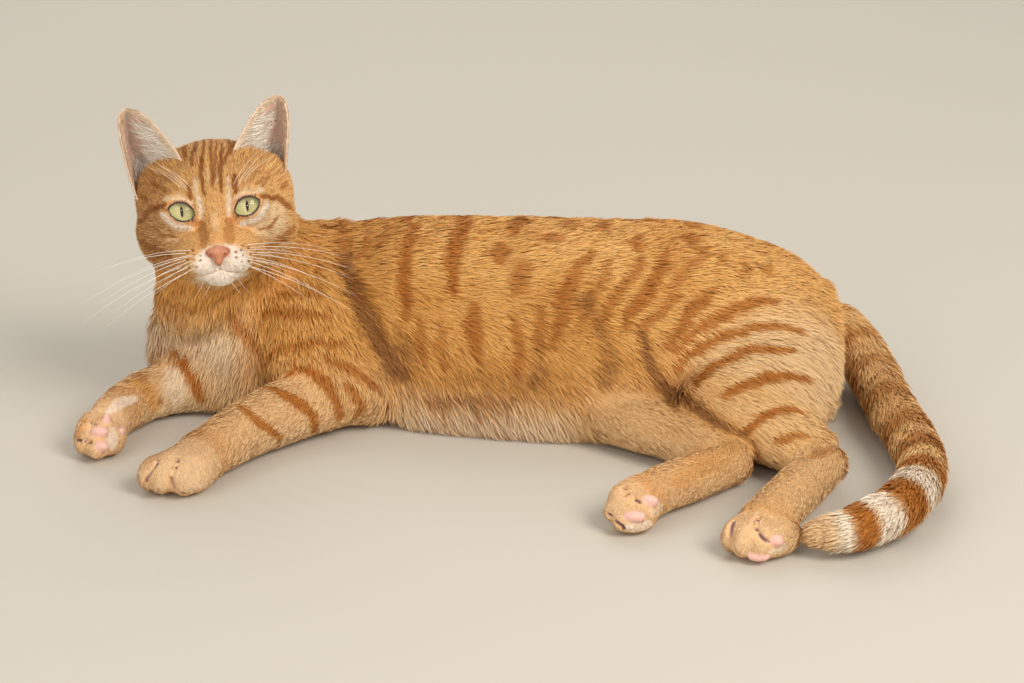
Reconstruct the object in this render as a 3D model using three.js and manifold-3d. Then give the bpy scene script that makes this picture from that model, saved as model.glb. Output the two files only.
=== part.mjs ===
// A ginger tabby cat, life size, lying on its chest and right hip with its head raised.
//
// Millimetres, +Z up, floor at z = 0. The body lies along X with the breast at -X and the rump at +X,
// the left side and the belly face -Y, and the origin is on the floor under the middle of the belly.
// Every form is a tube of oval rings along a smooth path, a group of joined ovoids, or a thin curved
// sheet, and reaches out to the tips of the coat. Forms placed later give way to those placed before.

import * as THREE from 'three';
import { mergeVertices } from 'three/addons/utils/BufferGeometryUtils.js';
import Module from 'manifold-3d';

const wasm = await Module();
wasm.setup();

// ---------------------------------------------------------------- driving dimensions

const GAP = 0.36;                  // clear space between two neighbouring pieces

const HEAD_AT = [-165, -75, 144];  // middle of the line between the eyes
const HEAD_YAW = 5;                // degrees the face turns from -Y towards +X
const HEAD_LIFT = 19.6;            // degrees the face looks up
const HEAD_ROLL = 5.3;             // degrees the head leans to its own right
const HEAD_SIDES = 28;
const HEAD_RINGS = 20;
const HEAD_SPACE_SIDES = 18;       // the coarser space kept for the head behind its ears and neck
const HEAD_SPACE_RINGS = 12;
const HEAD_SPACE_GROWTH = 1.3;
const HEAD_BLEND = 8;              // how softly the forms of the head run into each other

const EYE_APART = 37.2;            // between the middles of the eyes
const EYE_RADIUS = 10.2;
const EYE_DEPTH = 9;               // how far the middle of an eyeball lies behind the face's origin

const NOSE_AT = [0, -24.5, 18.5];  // the bare nose leather, in the head's frame
const NOSE_RADII = [6.8, 4.6, 5.2];

const EAR_THICKNESS = 2.4;
const EAR_SHIFT = -2.2;            // both ears lean this far to the cat's right
const EAR_TIP = [44, 62, -37];     // of the left ear, in the head's frame
const EAR_TIP_CUT = 0.94;          // the last row lies this far up towards the tip
const EAR_INNER_EDGE = [[15, 30, -20], [24, 50, -22], EAR_TIP];
const EAR_OUTER_EDGE = [[42, 12, -32], [50, 42, -30], EAR_TIP];
const EAR_BACK = [[36, 22, -50], [42, 50, -50], EAR_TIP];
const EAR_ROWS = 6;
const EAR_COLUMNS = 8;

const TRUNK_SIDES = 24;
const LIMB_SIDES = 12;
const TAIL_SIDES = 11;
const CAP_RINGS = 2;
const PAW_SIDES = 8;
const PAW_RINGS = 5;
const EYE_SIDES = 12;
const EYE_RINGS = 8;

// Forms of the head in its own frame: x to the cat's left, y up, z out of the face. [centre, radii]
const HEAD_FORMS = [
  [[0, 7, -40], [41, 35, 42]],        // cranium
  [[0, 15, -27], [24, 22, 24]],       // forehead
  [[0, -24, -26], [29, 20, 30]],      // jaw
  [[0, -6, -7], [8.5, 12, 13]],       // bridge of the nose
  [[0, -18, 5], [9, 9, 14.5]],        // tip of the nose bridge
  [[0, -37, 3], [10.5, 8.5, 12]],     // chin
];
const HEAD_PAIRED_FORMS = [
  [[25, -9, -34], [22, 23, 26]],      // cheek
  [[32, 10, -36], [14, 17, 18]],      // temple, under the ear
  [[17, 11, -22], [12, 9, 14]],       // brow
  [[22, -12, -16], [11, 8, 11]],      // cheekbone, under the eye
  [[12, -22, -4], [12, 11, 14]],      // side of the muzzle
  [[9.5, -28.5, 8], [11.5, 10, 12.5]], // whisker pad
];

// Each station of a tube: [x, y, z of the middle, half width, half height, depth below the middle].

const TRUNK = [
  [-194, -22, 46, 27, 28, 30],
  [-176, -12, 42, 42, 41, 38],
  [-148, 2, 38, 53, 55, 42],
  [-110, 12, 36, 62, 68, 44],
  [-70, 14, 35, 69, 75, 45],
  [-25, 12, 34, 74, 79, 45],
  [20, 10, 34, 77, 80, 46],
  [65, 10, 34, 79, 80, 46],
  [105, 14, 34, 79, 79, 45],
  [140, 19, 32, 74, 73, 42],
  [167, 24, 30, 66, 64, 39],
  [187, 27, 28, 53, 51, 35],
];

const TRUNK_SHAPE = { sides: TRUNK_SIDES, rings: 17, startCap: 15, endCap: 19, settle: 3.5 };
const TRUNK_CUTS = [6 / 17, 12 / 17];

const NECK = [
  [-122, 20, 70, 46, 34],
  [-144, 8, 82, 42, 34],
  [-158, -14, 102, 34, 32],
  [-162, -32, 116, 30, 30],
];
const NECK_SHAPE = { sides: 14, rings: 4, startCap: 10, endCap: 8, lift: [-0.5, 0, 1] };

const UPPER_ARM_LEFT = [
  [-96, 16, 82, 30, 16],
  [-106, -10, 70, 34, 20],
  [-112, -32, 54, 34, 22],
  [-104, -46, 38, 32, 22],
  [-90, -48, 26, 27, 22],
];
const UPPER_ARM_SHAPE = { rings: 7, startCap: 12, endCap: 14, lift: [0, -1, 0.6] };

const FOREARM_LEFT = [
  [-78, -42, 20, 20, 21],
  [-98, -51, 22, 22, 22],
  [-124, -73, 20, 20.5, 21],
  [-146, -98, 18, 18, 18.5],
  [-165, -126, 15.5, 15.5, 16],
];
const FOREARM_RIGHT = [
  [-130, 4, 24, 22, 22],
  [-158, -16, 21, 20, 20.5],
  [-186, -32, 18, 18, 18.5],
  [-207, -46, 16.5, 16.5, 17],
  [-219, -64, 15.5, 15, 15.5],
];

const THIGH_LEFT = [
  [166, 8, 46, 36, 26],
  [162, -14, 50, 46, 30],
  [155, -37, 46, 50, 29],
  [150, -60, 37, 48, 24],
  [150, -76, 29, 43, 20],
];
const THIGH_SHAPE = { rings: 7, startCap: 20, endCap: 12, sides: 18, lift: [0.21, -0.335, 0.92] };

const SHANK_LEFT = [
  [118, -68, 34, 23, 21],
  [140, -82, 28, 25, 22],
  [163, -93, 22, 25, 20],
  [181, -103, 18, 23, 17],
];
const METATARSUS_LEFT = [
  [184, -112, 16, 19, 16],
  [173, -140, 15, 17, 15],
  [158, -170, 14.5, 16.5, 14.5],
  [149, -188, 13.5, 17, 13.5],
];
const SHANK_RIGHT = [
  [64, -56, 19, 22, 20],
  [92, -78, 18, 20, 18.5],
  [118, -98, 16.5, 17, 16.5],
  [134, -110, 15, 15, 15],
];
const METATARSUS_RIGHT = [
  [136, -112, 14.5, 13.5, 14.5],
  [114, -136, 16, 13.5, 16],
  [94, -153, 15.5, 13.5, 15.5],
  [84, -163, 14.5, 13.5, 14.5],
];

const TAIL = [
  [182, 46, 42, 20, 20],
  [204, 50, 35, 20, 20],
  [220, 36, 26, 19, 19.5],
  [228, 6, 20, 18.5, 19],
  [233, -36, 18.5, 18, 18.5],
  [240, -80, 18, 18, 18],
  [242, -116, 18, 17.5, 18],
  [235, -148, 18, 17.5, 18],
  [219, -178, 18, 17, 18],
  [197, -197, 16, 16.5, 16],
  [177, -203, 14, 13, 13.5],
];
const TAIL_SHAPE = { sides: TAIL_SIDES, rings: 24, startCap: 8, endCap: 13 };
const TAIL_CUTS = [7 / 24, 13 / 24, 18 / 24];

// Paws: the way the toes point, the palm, and each toe. [centre, radii], with radii across, along, up.
const PAWS = {
  forepaw_left: {
    points: [-0.25, -0.97, 0],
    forms: [
      [[-172, -138, 14], [17, 18, 14.5]],
      [[-196, -147, 10.5], [7.5, 11, 10]],
      [[-187, -151, 11], [8, 12, 11]],
      [[-174, -152, 11], [8.5, 12, 11]],
      [[-167, -145, 10.5], [8, 12, 10]],
    ],
  },
  forepaw_right: {
    points: [-0.15, -0.98, -0.1],
    forms: [
      [[-225, -80, 15], [14, 18, 15]],
      [[-236, -96, 17], [7.5, 12, 8]],
      [[-237, -101, 10], [8, 12, 9]],
      [[-229, -106, 9], [8, 12, 8.5]],
      [[-221, -99, 9], [7.5, 11, 8.5]],
    ],
  },
  hindfoot_left: {
    points: [-0.6, -0.8, 0],
    forms: [
      [[131, -201, 11], [7.5, 12, 11]],
      [[137, -208, 11.5], [8, 13, 11.5]],
      [[148, -209, 11], [8, 12.5, 11]],
      [[158, -203, 10.5], [7.5, 12, 10.5]],
    ],
  },
  hindfoot_right: {
    points: [-0.72, -0.69, 0],
    forms: [
      [[72, -169, 19], [8, 12, 8]],
      [[69, -175, 12], [8, 12.5, 8.5]],
      [[74, -182, 9], [8, 12, 8.5]],
      [[81, -180, 9], [8, 11, 8.5]],
    ],
  },
};

const COLOURS = {
  fur: 0xcf9a5b,
  leather: 0xd99a8c,
  eye: 0xbfb86a,
};

// ---------------------------------------------------------------- meshes and solids

const vector = (p) => new THREE.Vector3(p[0], p[1], p[2]);

/** The signed volume that indexed triangles enclose. */
function volumeOf(points, faces) {
  let six = 0;
  for (const [a, b, c] of faces) {
    six += points[a].dot(points[b].clone().cross(points[c]));
  }
  return six / 6;
}

/** A closed surface from points and triangles, turned so that its faces point outwards. */
function closedGeometry(points, faces) {
  const outward = volumeOf(points, faces) > 0;
  const geometry = new THREE.BufferGeometry();
  geometry.setAttribute('position', new THREE.Float32BufferAttribute(points.flatMap((p) => p.toArray()), 3));
  geometry.setIndex(faces.flatMap(([a, b, c]) => (outward ? [a, b, c] : [a, c, b])));
  return geometry;
}

/** A three.js geometry as a manifold solid. */
function solidOf(geometry) {
  const bare = new THREE.BufferGeometry();
  bare.setAttribute('position', geometry.getAttribute('position').clone());
  if (geometry.index) bare.setIndex(geometry.index.clone());
  const merged = mergeVertices(bare, 1e-4);
  return new wasm.Manifold(new wasm.Mesh({
    numProp: 3,
    vertProperties: Float32Array.from(merged.getAttribute('position').array),
    triVerts: Uint32Array.from(merged.index.array),
  }));
}

/** A manifold solid back as a three.js geometry. */
function geometryOf(solid) {
  const mesh = solid.getMesh();
  const geometry = new THREE.BufferGeometry();
  const positions = new Float32Array(mesh.numVert * 3);
  for (let i = 0; i < mesh.numVert; i += 1) {
    positions.set(mesh.vertProperties.subarray(i * mesh.numProp, i * mesh.numProp + 3), i * 3);
  }
  geometry.setAttribute('position', new THREE.BufferAttribute(positions, 3));
  geometry.setIndex(Array.from(mesh.triVerts));
  geometry.computeVertexNormals();
  return geometry;
}

/** The largest of the separate bodies that a solid has fallen into. */
function largestBody(solid) {
  const bodies = solid.decompose();
  return bodies.reduce((best, body) => (body.volume() > best.volume() ? body : best));
}

/** Lifts every point that is under the floor up to it, which leaves a flat to rest on. */
function restOnFloor(geometry) {
  const position = geometry.getAttribute('position');
  for (let i = 0; i < position.count; i += 1) {
    position.setZ(i, Math.max(position.getZ(i), 0));
  }
  return geometry;
}

// ---------------------------------------------------------------- forms

/** A smooth curve through the first three numbers of each station. */
function pathThrough(stations) {
  return new THREE.CatmullRomCurve3(stations.map(vector), false, 'catmullrom', 0.5);
}

/** A smooth run of half width, half height and depth through the last numbers of each station. */
function sizesThrough(stations) {
  const sizes = stations.map((s) => new THREE.Vector3(s[3], s[4], s[5] ?? s[4]));
  return new THREE.CatmullRomCurve3(sizes, false, 'catmullrom', 0.5);
}

/** A point of the unit oval |x|^n + |y|^n = 1 in the direction of an angle. */
function ovalPoint(angle, n) {
  const [x, y] = [Math.cos(angle), Math.sin(angle)];
  const reach = (Math.abs(x) ** n + Math.abs(y) ** n) ** (-1 / n);
  return [x * reach, y * reach];
}

/**
 * A tube of oval rings through stations [x, y, z, half width, half height].
 * lift is the direction that the half height is measured along. startCap and endCap are the lengths
 * of the rounded ends, and 0 leaves a flat one. from and to pick a stretch of the tube, 0 to 1.
 * grow adds to every radius. settle, over 2, squares the lower half as weight on a floor does.
 */
function tube(stations, options) {
  const { lift = [0, 0, 1], sides = LIMB_SIDES, rings = 8, startCap = 0, endCap = 0 } = options;
  const { from = 0, to = 1, grow = 0, settle = 2 } = options;
  const path = pathThrough(stations);
  const sizes = sizesThrough(stations);
  const up = vector(lift).normalize();
  const slices = [];
  for (let i = 1; i <= CAP_RINGS && startCap > 0; i += 1) {
    const angle = (Math.PI / 2) * (1 - i / (CAP_RINGS + 1));
    slices.push({ t: from, shift: -(startCap + grow) * Math.sin(angle), scale: Math.cos(angle) });
  }
  const inner = Array.from({ length: rings + 1 }, (_, i) => i / rings);
  for (const t of [from, ...inner.filter((t) => t > from + 1e-3 && t < to - 1e-3), to]) {
    slices.push({ t, shift: 0, scale: 1 });
  }
  for (let i = 1; i <= CAP_RINGS && endCap > 0; i += 1) {
    const angle = (Math.PI / 2) * (i / (CAP_RINGS + 1));
    slices.push({ t: to, shift: (endCap + grow) * Math.sin(angle), scale: Math.cos(angle) });
  }
  const points = [];
  const middleAt = (t, shift) => path.getPoint(t).addScaledVector(path.getTangent(t), shift);
  for (const { t, shift, scale } of slices) {
    const tangent = path.getTangent(t);
    const side = tangent.clone().cross(up).normalize();
    const rise = side.clone().cross(tangent);
    const size = sizes.getPoint(t);
    for (let k = 0; k < sides; k += 1) {
      const angle = (2 * Math.PI * k) / sides;
      const [across, along] = ovalPoint(angle, Math.sin(angle) < 0 ? settle : 2);
      const height = along < 0 ? size.z : size.y;
      points.push(middleAt(t, shift)
        .addScaledVector(side, (size.x + grow) * scale * across)
        .addScaledVector(rise, (height + grow) * scale * along));
    }
  }
  const first = points.push(middleAt(from, startCap > 0 ? -(startCap + grow) : 0)) - 1;
  const last = points.push(middleAt(to, endCap > 0 ? endCap + grow : 0)) - 1;
  const faces = [];
  for (let i = 0; i + 1 < slices.length; i += 1) {
    for (let k = 0; k < sides; k += 1) {
      const next = (k + 1) % sides;
      const [a, b] = [i * sides + k, i * sides + next];
      faces.push([a, b, b + sides], [a, b + sides, a + sides]);
    }
  }
  const end = (slices.length - 1) * sides;
  for (let k = 0; k < sides; k += 1) {
    const next = (k + 1) % sides;
    faces.push([first, next, k], [last, end + k, end + next]);
  }
  return closedGeometry(points, faces);
}

/** An ovoid: its middle, its three radii, and the matrix that turns and places it. */
function ovoid(centre, radii, matrix, grow = 0, sides = 12, rings = 8) {
  const geometry = new THREE.SphereGeometry(1, sides, rings);
  geometry.scale(radii[0] + grow, radii[1] + grow, radii[2] + grow);
  geometry.translate(centre[0], centre[1], centre[2]);
  return geometry.applyMatrix4(matrix);
}

// ---------------------------------------------------------------- head

/** First-order distance from a point to an ellipsoid, negative inside it. */
function ellipsoidDistance(point, centre, radii) {
  const q = [0, 1, 2].map((i) => (point[i] - centre[i]) / radii[i]);
  const g = [0, 1, 2].map((i) => q[i] / radii[i]);
  const k0 = Math.hypot(...q);
  const k1 = Math.hypot(...g);
  return k1 > 0 ? (k0 * (k0 - 1)) / k1 : -Math.min(...radii);
}

/** The smaller of two distances, with a rounded corner of size k where they are alike. */
function softMinimum(a, b, k) {
  const h = Math.max(k - Math.abs(a - b), 0) / k;
  return Math.min(a, b) - (h * h * k) / 4;
}

const mirrored = ([[x, y, z], radii]) => [[-x, y, z], radii];
const ALL_HEAD_FORMS = [
  ...HEAD_FORMS,
  ...HEAD_PAIRED_FORMS,
  ...HEAD_PAIRED_FORMS.map(mirrored),
];

/** Distance to the soft union of all the forms of the head. */
function headDistance(point) {
  return ALL_HEAD_FORMS
    .map(([centre, radii]) => ellipsoidDistance(point, centre, radii))
    .reduce((a, b) => softMinimum(a, b, HEAD_BLEND));
}

/** A sphere round a point inside the head, each vertex moved along its ray to the head's surface. */
function headGeometry(grow = 0, sides = HEAD_SIDES, rings = HEAD_RINGS) {
  const heart = [0, -6, -30];
  const reach = 80;
  const step = 2;
  const halvings = 16;
  const geometry = new THREE.SphereGeometry(1, sides, rings);
  geometry.rotateX(Math.PI / 2);
  const position = geometry.getAttribute('position');
  for (let i = 0; i < position.count; i += 1) {
    const ray = [position.getX(i), position.getY(i), position.getZ(i)];
    const at = (t) => heart.map((h, k) => h + ray[k] * t);
    let outside = reach;
    while (headDistance(at(outside - step)) > grow) outside -= step;
    let inside = outside - step;
    for (let n = 0; n < halvings; n += 1) {
      const middle = (inside + outside) / 2;
      if (headDistance(at(middle)) > grow) outside = middle;
      else inside = middle;
    }
    position.setXYZ(i, ...at(inside));
  }
  return geometry;
}

/** Where the head's frame stands in the world. */
function headMatrix() {
  const turn = new THREE.Matrix4().makeRotationZ(THREE.MathUtils.degToRad(HEAD_YAW));
  const upright = new THREE.Matrix4().makeRotationX(Math.PI / 2 - THREE.MathUtils.degToRad(HEAD_LIFT));
  const lean = new THREE.Matrix4().makeRotationZ(THREE.MathUtils.degToRad(HEAD_ROLL));
  const move = new THREE.Matrix4().makeTranslation(...HEAD_AT);
  return move.multiply(turn).multiply(upright).multiply(lean);
}

/** A point, 0 to 1, on the curve between the first and last of three points, which bends to the second. */
function bow(three, s) {
  return new THREE.QuadraticBezierCurve3(...three.map(vector)).getPoint(s);
}

/**
 * A point of an ear's sheet: s runs from its root to its tip and t from its inner edge, -1, round
 * its back to its outer edge, 1. thick is 0 in the cup and the ear's thickness behind it.
 */
function earPoint(side, s, t, thick) {
  const inner = bow(EAR_INNER_EDGE, s).add(new THREE.Vector3(-thick / 2, 0, 0));
  const outer = bow(EAR_OUTER_EDGE, s).add(new THREE.Vector3(thick / 2, 0, 0));
  const back = bow(EAR_BACK, s).add(new THREE.Vector3(0, 0, -thick));
  const point = back.multiplyScalar(1 - t * t);
  point.addScaledVector(inner, (t * t - t) / 2);
  point.addScaledVector(outer, (t * t + t) / 2);
  point.z -= thick / 4;
  point.x = point.x * side + EAR_SHIFT;
  return point;
}

/**
 * An ear: a cupped sheet between an inner edge, a back and an outer edge that meet in the tip,
 * closed round its rim. side is 1 for the cat's left ear and -1 for its right one.
 */
function earGeometry(side) {
  const [rows, columns] = [EAR_ROWS, EAR_COLUMNS];
  const points = [];
  for (const thick of [0, EAR_THICKNESS]) {
    for (let i = 0; i <= rows; i += 1) {
      for (let k = 0; k <= columns; k += 1) {
        points.push(earPoint(side, (EAR_TIP_CUT * i) / rows, (2 * k) / columns - 1, thick));
      }
    }
  }
  const stride = columns + 1;
  const layer = stride * (rows + 1);
  const faces = [];
  for (let i = 0; i < rows; i += 1) {
    for (let k = 0; k < columns; k += 1) {
      const a = i * stride + k;
      faces.push([a, a + 1, a + stride + 1], [a, a + stride + 1, a + stride]);
      faces.push([layer + a, layer + a + stride + 1, layer + a + 1]);
      faces.push([layer + a, layer + a + stride, layer + a + stride + 1]);
    }
  }
  const rim = [];
  for (let k = 0; k < columns; k += 1) rim.push(k);
  for (let i = 0; i < rows; i += 1) rim.push(i * stride + columns);
  for (let k = columns; k > 0; k -= 1) rim.push(rows * stride + k);
  for (let i = rows; i > 0; i -= 1) rim.push(i * stride);
  rim.forEach((a, i) => {
    const b = rim[(i + 1) % rim.length];
    faces.push([a, layer + a, layer + b], [a, layer + b, b]);
  });
  return closedGeometry(points, faces);
}

// ---------------------------------------------------------------- assembly

const cat = new THREE.Group();
const reserved = [];

/** Adds a named piece, cut back from the spaces that are kept for other pieces. */
function place(name, geometry, colour = COLOURS.fur, spaces = reserved) {
  let solid = solidOf(geometry);
  const box = solid.boundingBox();
  for (const space of spaces) {
    const apart = [0, 1, 2].some((i) => space.box.max[i] < box.min[i] || space.box.min[i] > box.max[i]);
    if (!apart) solid = solid.subtract(space.solid);
  }
  const material = new THREE.MeshStandardMaterial({ color: colour, roughness: 0.8, metalness: 0 });
  const mesh = new THREE.Mesh(geometryOf(largestBody(solid)), material);
  mesh.name = name;
  cat.add(mesh);
}

/** A space that a piece takes up, with its box. */
function spaceOf(geometry) {
  const solid = solidOf(geometry);
  return { solid, box: solid.boundingBox() };
}

/** Keeps later pieces out of a space. */
function reserve(geometry) {
  reserved.push(spaceOf(geometry));
}

/** A paw: palm and toes joined, with the foot above them where there is one. */
function pawSolid(name, stations, options, grow) {
  const { points, forms } = PAWS[name];
  const along = vector(points).normalize();
  const across = along.clone().cross(new THREE.Vector3(0, 0, 1)).normalize();
  const turn = new THREE.Matrix4().makeBasis(across, along, across.clone().cross(along));
  const parts = forms.map(([centre, radii]) => {
    const place = new THREE.Matrix4().makeTranslation(...centre).multiply(turn);
    return ovoid([0, 0, 0], radii, place, grow, PAW_SIDES, PAW_RINGS);
  });
  if (stations) parts.push(tube(stations, { ...options, grow }));
  return parts.map((part) => solidOf(grow ? part : restOnFloor(part))).reduce((a, b) => a.add(b));
}

/** Places a paw and reserves its space. */
function placePaw(name, stations, options) {
  place(name, geometryOf(pawSolid(name, stations, options, 0)));
  reserve(geometryOf(pawSolid(name, stations, options, GAP)));
}

/** Places one or more lengths of a tube, which part at flat cuts, and reserves the space of them all. */
function placeTube(names, cuts, stations, options) {
  const half = GAP / 2 / pathThrough(stations).getLength();
  const bounds = [0, ...cuts, 1];
  names.forEach((name, i) => {
    const first = i === 0;
    const last = i === names.length - 1;
    const from = first ? 0 : bounds[i] + half;
    const to = last ? 1 : bounds[i + 1] - half;
    const caps = { startCap: first ? options.startCap : 0, endCap: last ? options.endCap : 0 };
    place(name, restOnFloor(tube(stations, { ...options, from, to, ...caps })));
  });
  reserve(tube(stations, { ...options, grow: GAP }));
}

const atHead = headMatrix();

/** Places an ovoid that is set in the head and reserves its space. */
function placeInHead(name, centre, radii, sides, rings, colour) {
  place(name, ovoid(centre, radii, atHead, 0, sides, rings), colour);
  reserve(ovoid(centre, radii, atHead, GAP, sides, rings));
}

/** The eyes and nose, the head round them, and the ears on it. */
function placeHead() {
  for (const [name, sign] of [['eye_left', 1], ['eye_right', -1]]) {
    const middle = [(sign * EYE_APART) / 2, 0, -EYE_DEPTH];
    const radii = [EYE_RADIUS, EYE_RADIUS, EYE_RADIUS];
    placeInHead(name, middle, radii, EYE_SIDES, EYE_RINGS, COLOURS.eye);
  }
  placeInHead('nose', NOSE_AT, NOSE_RADII, 10, 7, COLOURS.leather);
  place('head', headGeometry().applyMatrix4(atHead));
  const headSpace = [spaceOf(headGeometry(GAP).applyMatrix4(atHead))];
  place('ear_left', earGeometry(1).applyMatrix4(atHead), COLOURS.fur, headSpace);
  place('ear_right', earGeometry(-1).applyMatrix4(atHead), COLOURS.fur, headSpace);
  reserve(headGeometry(HEAD_SPACE_GROWTH, HEAD_SPACE_SIDES, HEAD_SPACE_RINGS).applyMatrix4(atHead));
}

placeHead();
placeTube(['chest', 'abdomen', 'rump'], TRUNK_CUTS, TRUNK, TRUNK_SHAPE);
placeTube(['neck'], [], NECK, NECK_SHAPE);
placeTube(['foreleg_left_upper'], [], UPPER_ARM_LEFT, UPPER_ARM_SHAPE);
placeTube(['foreleg_left_lower'], [], FOREARM_LEFT, { rings: 7, startCap: 13 });
placeTube(['foreleg_right_lower'], [], FOREARM_RIGHT, { rings: 7, startCap: 10 });
placeTube(['hindleg_left_thigh'], [], THIGH_LEFT, THIGH_SHAPE);
placeTube(['hindleg_left_shank'], [], SHANK_LEFT, { rings: 5, startCap: 18, endCap: 14 });
placeTube(['hindleg_right_shank'], [], SHANK_RIGHT, { rings: 5, startCap: 12, endCap: 8 });
placePaw('forepaw_left');
placePaw('forepaw_right');
placePaw('hindfoot_left', METATARSUS_LEFT, { sides: 10, rings: 3, startCap: 13, endCap: 12 });
placePaw('hindfoot_right', METATARSUS_RIGHT, { sides: 10, rings: 3, startCap: 11, endCap: 11 });
placeTube(['tail_1', 'tail_2', 'tail_3', 'tail_4'], TAIL_CUTS, TAIL, TAIL_SHAPE);

export default cat;
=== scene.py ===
"""A ginger tabby cat, life size, lying with its head raised: skin, coat, eyes, nose and whiskers.

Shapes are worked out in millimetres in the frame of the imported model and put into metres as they
become meshes. One skin, the zero surface of a distance field of soft-joined forms, carries a coat
of thin tufts, and both take their markings from the same strokes and zones.
"""

import logging
import math
from dataclasses import dataclass, field, fields
from enum import IntEnum
from typing import Callable, Dict, List, Optional, Sequence, Tuple

import bmesh
import bpy
import numpy as np
from mathutils import Matrix, Vector


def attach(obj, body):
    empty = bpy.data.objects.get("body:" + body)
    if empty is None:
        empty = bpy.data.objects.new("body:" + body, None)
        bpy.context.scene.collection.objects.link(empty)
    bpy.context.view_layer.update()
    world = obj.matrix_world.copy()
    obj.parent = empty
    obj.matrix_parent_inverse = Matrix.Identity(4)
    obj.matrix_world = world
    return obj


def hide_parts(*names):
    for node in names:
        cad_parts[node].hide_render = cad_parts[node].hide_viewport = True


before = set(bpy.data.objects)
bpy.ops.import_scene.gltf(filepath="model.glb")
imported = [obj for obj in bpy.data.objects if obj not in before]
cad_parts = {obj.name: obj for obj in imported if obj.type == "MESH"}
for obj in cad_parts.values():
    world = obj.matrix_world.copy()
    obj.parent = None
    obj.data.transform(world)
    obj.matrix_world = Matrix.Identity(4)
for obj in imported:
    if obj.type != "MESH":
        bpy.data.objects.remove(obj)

log = logging.getLogger("cat")

MM = 0.001
FAR = 1.0e3
Array = np.ndarray
Triple = Tuple[float, float, float]
Place = Tuple[float, ...]
Path = Tuple[Place, ...]
Colour = Tuple[float, ...]
Piece, Mesh, Material = bpy.types.Object, bpy.types.Mesh, bpy.types.Material
Tree, Socket = bpy.types.NodeTree, bpy.types.NodeSocket

# ---- driving sizes, in millimetres

HEAD_AT = (-165.0, -75.0, 144.0)
HEAD_YAW, HEAD_LIFT, HEAD_ROLL = 5.0, 19.6, 5.3
EYE_APART, EYE_RADIUS, EYE_DEPTH = 37.2, 10.0, 9.0
FLOOR_CLEAR = 1.0
NOSE_TIP = (0.0, -20.0, 22.0)

TRUNK = (
    (-194, -22, 46, 27, 28, 30), (-176, -12, 42, 42, 41, 38), (-148, 2, 38, 53, 55, 42),
    (-110, 12, 36, 62, 68, 44), (-70, 14, 35, 69, 75, 45), (-25, 12, 34, 74, 79, 45),
    (20, 10, 34, 77, 80, 46), (65, 10, 34, 79, 80, 46), (105, 14, 34, 79, 79, 45),
    (140, 19, 32, 74, 73, 42), (167, 24, 30, 66, 64, 39), (187, 27, 28, 53, 51, 35))
NECK = (
    (-122, 20, 70, 46, 34), (-144, 8, 82, 42, 34), (-158, -14, 102, 34, 32), (-162, -32, 116, 30, 30))
UPPER_ARM_LEFT = (
    (-96, 16, 82, 30, 16), (-106, -10, 70, 34, 20), (-112, -32, 54, 34, 22), (-104, -46, 38, 32, 22),
    (-90, -48, 26, 27, 22))
FOREARM_LEFT = (
    (-78, -42, 20, 20, 21), (-98, -51, 22, 22, 22), (-124, -73, 20, 20.5, 21), (-146, -98, 18, 18, 18.5),
    (-165, -126, 15.5, 15.5, 16))
FOREARM_RIGHT = (
    (-130, 4, 24, 22, 22), (-158, -16, 21, 20, 20.5), (-186, -32, 18, 18, 18.5),
    (-207, -46, 16.5, 16.5, 17), (-219, -64, 15.5, 15, 15.5))
THIGH_LEFT = (
    (166, 8, 46, 36, 26), (162, -14, 50, 46, 30), (155, -37, 46, 50, 29), (150, -60, 37, 48, 24),
    (150, -76, 29, 43, 20))
SHANK_LEFT = (
    (118, -68, 34, 23, 21), (140, -82, 28, 25, 22), (163, -93, 22, 25, 20), (181, -103, 18, 23, 17))
METATARSUS_LEFT = (
    (184, -112, 16, 19, 16), (173, -140, 15, 17, 15), (158, -170, 14.5, 16.5, 14.5),
    (149, -188, 13.5, 17, 13.5))
SHANK_RIGHT = (
    (64, -56, 19, 22, 20), (92, -78, 18, 20, 18.5), (118, -98, 16.5, 17, 16.5), (134, -110, 15, 15, 15))
METATARSUS_RIGHT = (
    (136, -112, 14.5, 13.5, 14.5), (114, -136, 16, 13.5, 16), (94, -153, 15.5, 13.5, 15.5),
    (84, -163, 14.5, 13.5, 14.5))
TAIL = (
    (182, 46, 42, 20, 20), (204, 50, 35, 20, 20), (220, 36, 26, 19, 19.5), (228, 6, 20, 18.5, 19),
    (233, -36, 18.5, 18, 18.5), (240, -80, 18, 18, 18), (242, -116, 18, 17.5, 18),
    (235, -148, 18, 17.5, 18), (219, -178, 18, 17, 18), (197, -197, 16, 16.5, 16),
    (177, -203, 14, 13, 13.5))

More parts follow.
